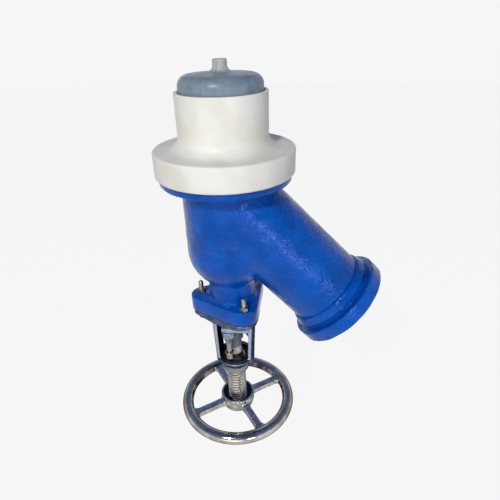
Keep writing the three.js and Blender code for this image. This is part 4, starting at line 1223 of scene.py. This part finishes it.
def makeBonnet():
    size = bonnet
    low, high = extent("bonnet_yoke")
    top, end = high.z, low.z
    flangeZ = top - size["flangeThickness"]
    floor = size["rimZ"] - size["bowlDepth"]
    flare = [(size["armTop"] + outward, flangeZ - down) for outward, down in size["shoulder"]]
    envelope = turned("envelope", [(0, flangeZ + 3), (size["flareReach"], flangeZ + 3)] + flare + [
        (size["armTop"], flangeZ - size["shoulderDrop"]), (size["armBottom"], size["rimZ"]),
        (size["armBottom"], floor - 4), (0, floor - 4),
    ])
    under = raised("under", footOutline(size["inset"]), top, end - 10)
    combine(envelope, "INTERSECT", under)
    drop = flangeZ - size["collarTop"]
    slope = [(size["shoulderFront"] + (size["flareReach"] - 2 - size["shoulderFront"]) * (1 - i / 8) ** 2,
              flangeZ - drop * i / 8) for i in range(9)]
    shoulder = turned("shoulder", [(0, flangeZ + 1), (size["flareReach"] - 2, flangeZ + 1)] + slope
                      + [(0, size["collarTop"])], 96)
    arms = armSlab(flangeZ + 1, floor)
    combine(shoulder, "UNION", arms)
    combine(shoulder, "INTERSECT", envelope)
    flange = raised("flange", footOutline(size["inset"]), top, flangeZ, size["flangeRound"], 3)
    corner = roundedRectangle(size["collarHalfX"], size["collarHalfY"], size["collarCorner"])
    boxEnd = size["collarTop"] - size["collarThickness"]
    collar = spun(raised("collar", corner, size["collarTop"] + 3, boxEnd, 0.8), size["collarTurn"])
    moved(collar, size["collarShift"])
    boss, bossRound, rimZ, rimRound = size["boss"], size["bossRound"], size["rimZ"], size["rimRound"]
    armBottom = size["armBottom"]
    bowl = turned("bowl", [(0, rimZ), (armBottom - rimRound, rimZ), (armBottom, rimZ - rimRound)]
                  + arcPoints(boss, rimZ, armBottom - boss, -20, -60, 8)
                  + [(boss, rimZ - size["taperHeight"]), (boss, end + bossRound),
                     (boss - bossRound, end), (0, end)])
    item = gather("bonnet", [shoulder, bowl])
    castSkin(item, size["skinVoxel"], 4, 10, 3)
    unevenSkin(item, 5, 0.12, 5.0)
    combine(item, "UNION", flange, collar)
    cuts = [
        rod("above", farPast, top + farPast, top, 32),
        rod("stuffing", size["stuffing"], size["packingTop"], boxEnd - overrun, 64),
        rod("stemWay", size["stemWay"], top + overrun, size["packingTop"] - 1, 64),
        rod("cavity", size["bowlCavity"], rimZ + overrun, floor, 96),
        rod("bushHole", size["bossBore"], floor + overrun, end - overrun, 96),
        moved(spun(rod("grub", size["grubHole"], boss + overrun, 0, 32), 90, "X"), 0, 0, size["grubZ"]),
    ]
    cuts += studHoles(top + overrun, flangeZ - size["studHoleDepth"])
    for name in ("front", "back"):
        hole = rod("hole", size["glandHole"], boxEnd + size["glandHoleDepth"], boxEnd - overrun, 32)
        cuts.append(moved(hole, *middleOf("gland_stud_" + name)))
    combine(item, "DIFFERENCE", *cuts)
    smooth(item, 40)
    finish(item, "yokeStainless", "cast_stainless", "valve_body", "bonnet_yoke")


# Gland: an oblong plate with a conical ear at each stud and a nose into the packing
gland = {
    "turn": -10.0,
    "studCircle": 22.6,
    "ear": 9.2,
    "earTip": 4.7,
    "earEnd": 2.0,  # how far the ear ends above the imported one's tip
    "halfWidth": 15.2,
    "thickness": 8.0,
    "webWidth": 8.0,
    "nose": 14.6,
    "stemHole": 9.8,
    "studHole": 2.8,
    "voxel": 0.55,
}


def makeGland():
    size = gland
    low, high = extent("gland_follower")
    noseTop, tip = high.z, low.z
    plateTop = bonnet["collarTop"] - bonnet["collarThickness"] - 0.4
    plateBottom = plateTop - size["thickness"]
    reach, ear = size["studCircle"], size["ear"]
    outline = arcPoints(0, reach, ear - 0.5, 0, 180, 16)
    outline += arcPoints(0, 0, size["halfWidth"], 125, 235, 16)
    outline += arcPoints(0, -reach, ear - 0.5, 180, 360, 16)
    outline += arcPoints(0, 0, size["halfWidth"], -55, 55, 16)
    plate = raised("plate", outline, plateTop, plateBottom, 0.8, 2)
    noseRod = rod("nose", size["nose"], noseTop, plateBottom, 96)
    earEnd = tip + size["earEnd"]
    earTip, nose = size["earTip"], size["nose"]
    earSide = [(ear, plateTop), (ear - 0.3, plateTop - 3), (earTip, earEnd), (earTip, tip)]
    ears = [moved(turned("ear", [(0, plateTop), *earSide, (0, tip)], 48), 0, side * reach) for side in (-1, 1)]
    web = [(-reach, plateBottom), (-reach, tip + 1), (-nose, plateBottom - 1), (nose, plateBottom - 1),
           (reach, tip + 1), (reach, plateTop - 1), (-reach, plateTop - 1)]
    webs = spun(spun(raised("webs", web, size["webWidth"] / 2, -size["webWidth"] / 2), 90, "X"), 90)
    item = gather("gland", [plate, noseRod, webs, *ears])
    castSkin(item, size["voxel"], 3, 8, 3)
    spun(item, size["turn"])
    cuts = [rod("stemHole", size["stemHole"], noseTop + overrun, tip - 20, 64)]
    for name in ("front", "back"):
        hole = rod("hole", size["studHole"], plateTop + overrun, tip - overrun, 32)
        cuts.append(moved(hole, *middleOf("gland_stud_" + name)))
    combine(item, "DIFFERENCE", *cuts)
    unevenSkin(item, 3, 0.06, 9.0)
    smooth(item, 40)
    finish(item, "castStainless", "cast_stainless", "valve_body", "gland_follower")


finishYoke()
makeBonnet()
makeGland()
print("bonnet and gland made")

# Fasteners, each copied from one drawing to the places of its nodes
fasteners = {
    "bonnetThread": (1.25, 0.3),  # pitch and depth
    "bonnetEnd": 1.6,
    "bonnetExtra": 0.45,  # the studs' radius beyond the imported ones'
    "bonnetNutAcross": 10.0,
    "bonnetNutHole": 3.3,
    "glandThread": (1.0, 0.45),
    "glandEnd": 0.8,
    "glandNutAcross": 8.0,
    "wheelNutAcross": 19.0,
    "washerGap": 0.3,
}


def finishFastener(item, material, body, node):
    smooth(item, 30)
    item.name = "".join(word.capitalize() if i else word for i, word in enumerate(node.split("_")))
    finish(item, material, "turned_steel", body, node)


def makeBonnetBolting():
    size = fasteners
    pitch, depth = size["bonnetThread"]
    for node in ("left", "front", "back"):
        x, y = middleOf("bonnet_stud_" + node)
        low, high = extent("bonnet_stud_" + node)
        radius = (high.x - low.x) / 2 + size["bonnetExtra"]
        stud = threadedRod("stud", radius, pitch, depth, high.z, low.z, size["bonnetEnd"], 48)
        finishFastener(moved(stud, x, y), "threadedStainless", "valve_body", "bonnet_stud_" + node)
        low, high = extent("bonnet_nut_" + node)
        nut = hexNut("nut", size["bonnetNutAcross"], high.z - low.z, size["bonnetNutHole"])
        finishFastener(moved(nut, x, y, low.z), "turnedStainless", "valve_body", "bonnet_nut_" + node)


def makeGlandBolting():
    size = fasteners
    pitch, depth = size["glandThread"]
    for node in ("front", "back"):
        x, y = middleOf("gland_stud_" + node)
        low, high = extent("gland_stud_" + node)
        radius = (high.x - low.x) / 2
        stud = threadedRod("stud", radius, pitch, depth, high.z, low.z, size["glandEnd"], 40)
        finishFastener(moved(stud, x, y), "threadedStainless", "valve_body", "gland_stud_" + node)
        for kind in ("gland_spacer_", "gland_washer_"):
            low, high = extent(kind + node)
            ring = washer("ring", radius + size["washerGap"], (high.y - low.y) / 2, high.z, low.z)
            finishFastener(moved(ring, x, y), "turnedStainless", "valve_body", kind + node)
        for kind in ("gland_nut_", "gland_lock_nut_"):
            low, high = extent(kind + node)
            nut = hexNut("nut", size["glandNutAcross"], high.z - low.z, radius)
            finishFastener(moved(nut, x, y, low.z), "turnedStainless", "valve_body", kind + node)


makeBonnetBolting()
makeGlandBolting()
print("studs and nuts made")

# Lead screw: trapezoidal thread, socket round the stem's end, square drive and threaded end
screw = {
    "pitch": 5.0,
    "threadDepth": 2.1,
    "chamfer": 1.2,
    "socket": 7.8,
    "socketDepth": 22.5,
    "pinOffset": 7.9,
    "pinHole": 2.1,
    "driveTop": -386.9,
    "driveHalf": 7.2,
    "driveCorner": 0.5,
    "endThread": 6.0,
    "endPitch": 1.5,
    "endDepth": 0.7,
    "endChamfer": 1.0,
}


def makeScrew():
    size = screw
    low, high = extent("lead_screw")
    radius = high.x
    top, driveTop = high.z, size["driveTop"]
    item = threadedRod("leadScrew", radius, size["pitch"], size["threadDepth"], top, driveTop, size["chamfer"])
    hubBottom = extent("wheel_washer")[1].z
    square = roundedRectangle(size["driveHalf"], size["driveHalf"], size["driveCorner"])
    drive = raised("drive", square, driveTop + 3, hubBottom + 0.6)
    endPitch, endDepth, endChamfer = size["endPitch"], size["endDepth"], size["endChamfer"]
    endRod = threadedRod("end", size["endThread"], endPitch, endDepth, hubBottom + 3, low.z, endChamfer, 48)
    combine(item, "UNION", drive, endRod)
    cuts = [rod("socket", size["socket"], top + overrun, top - size["socketDepth"], 64)]
    for side in (-1, 1):
        hole = spun(rod("pinHole", size["pinHole"], radius * 2, -radius * 2, 32), 90, "X")
        cuts.append(moved(hole, side * size["pinOffset"], 0, stem["grooveZ"]))
    combine(item, "DIFFERENCE", *cuts)
    smooth(item, 28)
    finish(item, "rolledThread", "turned_steel", "handwheel_and_screw", "lead_screw")


# Bush: a flanged bronze sleeve in the boss
bush = {
    "flange": 19.4,
    "flangeThickness": 3.4,
    "bore": 13.8,
    "outer": 16.0,
    "edge": 0.5,
}


def makeBush():
    low, high = extent("yoke_bush")
    floor = high.z - bush["flangeThickness"]
    flange, bore, outer, edge = bush["flange"], bush["bore"], bush["outer"], bush["edge"]
    item = smooth(turned("bush", [
        (bore + edge, high.z), (flange - edge, high.z), (flange, high.z - edge), (flange, floor), (outer, floor),
        (outer, low.z), (bore + edge, low.z), (bore, low.z + edge), (bore, high.z - edge),
    ], 96))
    finish(item, "dullBronze", "bronze", "valve_body", "yoke_bush")


makeScrew()
makeBush()
print("screw and bush made")

# Handwheel: polished round rim on a cast hub and spokes
wheel = {
    "turn": 36.0,
    "tube": 8.1,
    "spokes": 4,
    "spokeWidth": 10.5,
    "spokeDepth": 9.0,
    "spokeFlare": 5.0,
    "spokeRound": 1.2,
    "hub": 25.0,
    "hubWall": 3.2,
    "hubTop": -378.0,
    "hubRecess": 9.2,
    "hubRound": 1.2,
    "hubSkirt": 22.6,
    "skirtRound": 0.8,
    "driveHalf": 7.5,
    "driveCorner": 0.4,
    "voxel": 0.95,
}


def makeWheel():
    size = wheel
    tube = size["tube"]
    ring = extent("handwheel")[1].x - tube
    wheelZ = wheelHeight()
    tubeSection = [(ring + tube * math.cos(a), wheelZ + tube * math.sin(a))
                   for a in (2 * math.pi * i / 40 for i in range(40))]
    rim = turned("rim", tubeSection, 192)
    half, flare, hub = size["spokeWidth"] / 2, size["spokeFlare"], size["hub"]
    inner, outer = hub - size["hubWall"], ring - tube
    edge = [(inner, half + flare / 2), (hub + flare * 0.6, half + flare * 0.12), (hub + 2 * flare, half),
            (outer - flare, half), (outer - flare * 0.2, half + flare * 0.28), (outer + flare / 2, half + flare),
            (ring, half + flare)]
    outline = [(x, -y) for x, y in edge] + [(x, y) for x, y in reversed(edge)]
    depth = size["spokeDepth"] / 2
    turns = [size["turn"] + 360 * i / size["spokes"] for i in range(size["spokes"])]
    edges = size["spokeRound"]
    spokes = [spun(raised("spoke", outline, wheelZ + depth, wheelZ - depth, edges, 2), turn) for turn in turns]
    hubTop, hubEnd = size["hubTop"], extent("wheel_washer")[1].z + 0.3
    edgeRound = size["hubRound"]
    skirt, skirtRound = size["hubSkirt"], size["skirtRound"]
    centre = turned("centre", [(0, hubTop)] + arcPoints(hub - edgeRound, hubTop - edgeRound, edgeRound, 90, 0, 4)
                    + [(hub, (hubTop + hubEnd) / 2), (skirt, hubEnd + skirtRound), (skirt - skirtRound, hubEnd),
                       (0, hubEnd)])
    recessFloor = hubTop - size["hubRecess"]
    item = gather("wheel", [rim, centre, *spokes])
    castSkin(item, size["voxel"], 4, 8, 3)
    roundTheRim(item, ring, wheelZ, tube)
    unevenHub(item, ring, wheelZ, tube)
    recess = rod("recess", hub - size["hubWall"], hubTop + overrun, recessFloor, 96)
    square = roundedRectangle(size["driveHalf"], size["driveHalf"], size["driveCorner"])
    hole = raised("square", square, hubTop, hubEnd - overrun)
    combine(item, "DIFFERENCE", recess, hole)
    smooth(item, 40)
    finish(item, "rimStainless", "polished_stainless", "handwheel_and_screw", "handwheel")
    item.data.materials.append(materials["wheelCasting"])
    for polygon in item.data.polygons:
        centreAt = polygon.center / mm
        away = math.hypot(math.hypot(centreAt.x, centreAt.y) - ring, centreAt.z - wheelZ)
        polygon.material_index = 0 if away < tube + 0.25 else 1


def wheelHeight():
    joint = next(j for j in frame["joints"] if j["name"] == "handwheel_turn")
    return joint["pos_m"][2] / mm


# Sets the rim's points back on its true round section, apart from where the spokes run in
def roundTheRim(item, ring, wheelZ, tube):
    for vertex in item.data.vertices:
        here = vertex.co / mm
        radial = math.hypot(here.x, here.y)
        across, up = radial - ring, here.z - wheelZ
        away = math.hypot(across, up)
        if abs(away - tube) < 0.2:
            fit = tube / away
            reach = ring + across * fit
            vertex.co = Vector((here.x / radial * reach, here.y / radial * reach, wheelZ + up * fit)) * mm
    item.data.update()


def unevenHub(item, ring, wheelZ, tube):
    def offRim(here):
        away = math.hypot(math.hypot(here.x, here.y) - ring, here.z - wheelZ)
        return min(max((away - tube) / 2, 0), 1)

    unevenSkin(item, 5, 0.18, 7.0, offRim)


makeWheel()
print("handwheel made")


# Flat gasket, cut to the foot's outline
def makeGasket():
    low, high = extent("bonnet_gasket")
    item = raised("gasket", footOutline(foot["gasketInset"]), high.z, low.z)
    top, bottom = high.z + overrun, low.z - overrun
    combine(item, "DIFFERENCE", rod("hole", lining["neckInner"], top, bottom, 64), *studHoles(top, bottom))
    finish(smooth(item, 30), "fibreGasket", "gasket", "valve_body", "bonnet_gasket")


makeGasket()
print("gasket made")

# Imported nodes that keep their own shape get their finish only
keptNodes = {
    "whiteFluoropolymer": ["stem_guide"] + [f"packing_ring_{i}" for i in (1, 2, 3, 4)],
    "turnedStainless": ["bush_grub_screw", "retaining_pin_left", "retaining_pin_right"],
}
for finishName, nodes in keptNodes.items():
    for node in nodes:
        mesh = frame["nodes"][node].data
        mesh.materials.clear()
        mesh.materials.append(materials[finishName])


def makeWheelNut():
    low, high = extent("wheel_nut")
    nut = hexNut("nut", fasteners["wheelNutAcross"], high.z - low.z, screw["endThread"])
    finishFastener(moved(nut, 0, 0, low.z), "turnedStainless", "handwheel_and_screw", "wheel_nut")
    low, high = extent("wheel_washer")
    ring = washer("ring", screw["endThread"] + fasteners["washerGap"], high.x, high.z, low.z)
    finishFastener(ring, "turnedStainless", "handwheel_and_screw", "wheel_washer")


makeWheelNut()
print("wheel's nut and washer made, kept nodes finished")

# Studio: pale floor well below, a white horizon under a dimmer bluish dome, and three soft lamps
studio = {
    "floorDrop": 0.25,
    "floorSize": 12.0,
    "floorColour": "#BDBDBB",
    "floorGlow": 0.9,  # share of plain white in what the camera and polished metal see of the floor
    # from straight below, 0, to straight above, 1
    "dome": [(0.0, "#8A8178"), (0.40, "#F6F6F7"), (0.64, "#F6F6F7"), (0.72, "#A9B6CE"), (0.78, "#7A8DB1"),
             (1.0, "#4E628C")],
    "fill": 0.4,  # share of the surround that lights matt surfaces
    "keyPower": 20.0,
    "keySize": (0.26, 0.26),
    "keyPlace": (-0.3, -1.4, 1.05),
    "keyColour": "#FFFDF6",
    "windowPower": 5.4,
    "windowSize": (0.28, 0.28),
    "windowPlace": (0.72, -1.3, -0.02),
    "windowColour": "#F4F6FF",
    "lowPower": 2.4,
    "lowSize": (0.95, 0.34),
    "lowPlace": (-0.06, -1.46, -0.36),
    "lowColour": "#FFFCF4",
    "aim": (0.03, 0.0, -0.15),
}


# 1 for the camera's rays and for those mirrored or let through, 0 for those that only light matt surfaces
def raysThatSee(tree):
    path = addNode(tree, "ShaderNodeLightPath").outputs
    links = {0: path["Is Camera Ray"], 1: path["Is Glossy Ray"]}
    either = addNode(tree, "ShaderNodeMath", None, links, operation="MAXIMUM")
    links = {0: either.outputs[0], 1: path["Is Transmission Ray"]}
    return addNode(tree, "ShaderNodeMath", None, links, operation="MAXIMUM").outputs[0]


def makeFloor():
    half = studio["floorSize"] / 2
    z = cadBox[0].z - studio["floorDrop"]
    mesh = bpy.data.meshes.new("floor")
    corners = [(-half, -half, z), (half, -half, z), (half, half, z), (-half, half, z)]
    mesh.from_pydata(corners, [], [(0, 1, 2, 3)])
    floor = bpy.data.objects.new("floor", mesh)
    bpy.context.scene.collection.objects.link(floor)
    material = bpy.data.materials.new("paleFloor")
    material.use_nodes = True
    tree = material.node_tree
    tree.nodes.clear()
    matt = addNode(tree, "ShaderNodeBsdfDiffuse", {"Color": linear(studio["floorColour"])})
    white = addNode(tree, "ShaderNodeEmission", {"Color": (1, 1, 1, 1), "Strength": 1.0})
    sight = {0: raysThatSee(tree)}
    glow = addNode(tree, "ShaderNodeMath", {1: studio["floorGlow"]}, sight, operation="MULTIPLY").outputs[0]
    mix = addNode(tree, "ShaderNodeMixShader", None, {0: glow, 1: matt.outputs[0], 2: white.outputs[0]})
    addNode(tree, "ShaderNodeOutputMaterial", None, {"Surface": mix.outputs[0]})
    mesh.materials.append(material)


def makeWorld():
    world = bpy.data.worlds.new("surround")
    bpy.context.scene.world = world
    world.use_nodes = True
    tree = world.node_tree
    tree.nodes.clear()
    direction = addNode(tree, "ShaderNodeTexCoord").outputs["Generated"]
    height = addNode(tree, "ShaderNodeSeparateXYZ", None, {0: direction}).outputs["Z"]
    limits = {"From Min": -1.0, "From Max": 1.0}
    level = addNode(tree, "ShaderNodeMapRange", limits, {"Value": height}).outputs["Result"]
    stops = [(at, linear(colour)) for at, colour in studio["dome"]]
    ramp = addNode(tree, "ShaderNodeValToRGB", None, {"Fac": level}, stops=stops)
    seen = addNode(tree, "ShaderNodeBackground", {"Strength": 1.0}, {"Color": ramp.outputs[0]})
    fill = addNode(tree, "ShaderNodeBackground", {"Strength": studio["fill"]}, {"Color": ramp.outputs[0]})
    links = {0: raysThatSee(tree), 1: fill.outputs[0], 2: seen.outputs[0]}
    mix = addNode(tree, "ShaderNodeMixShader", None, links)
    addNode(tree, "ShaderNodeOutputWorld", None, {"Surface": mix.outputs[0]})


def makeLamp(name, spotAt, size, power, colour):
    data = bpy.data.lights.new(name, "AREA")
    data.shape = "ELLIPSE"
    data.size, data.size_y = size
    data.energy = power
    data.color = linear(colour)[:3]
    lamp = bpy.data.objects.new(name, data)
    bpy.context.scene.collection.objects.link(lamp)
    lamp.location = spotAt
    aim = Vector(studio["aim"]) - lamp.location
    lamp.rotation_euler = aim.to_track_quat("-Z", "Y").to_euler()


makeFloor()
makeWorld()
for lampName in ("key", "window", "low"):
    makeLamp(lampName + "Lamp", *(studio[lampName + part] for part in ("Place", "Size", "Power", "Colour")))
print("studio lit")
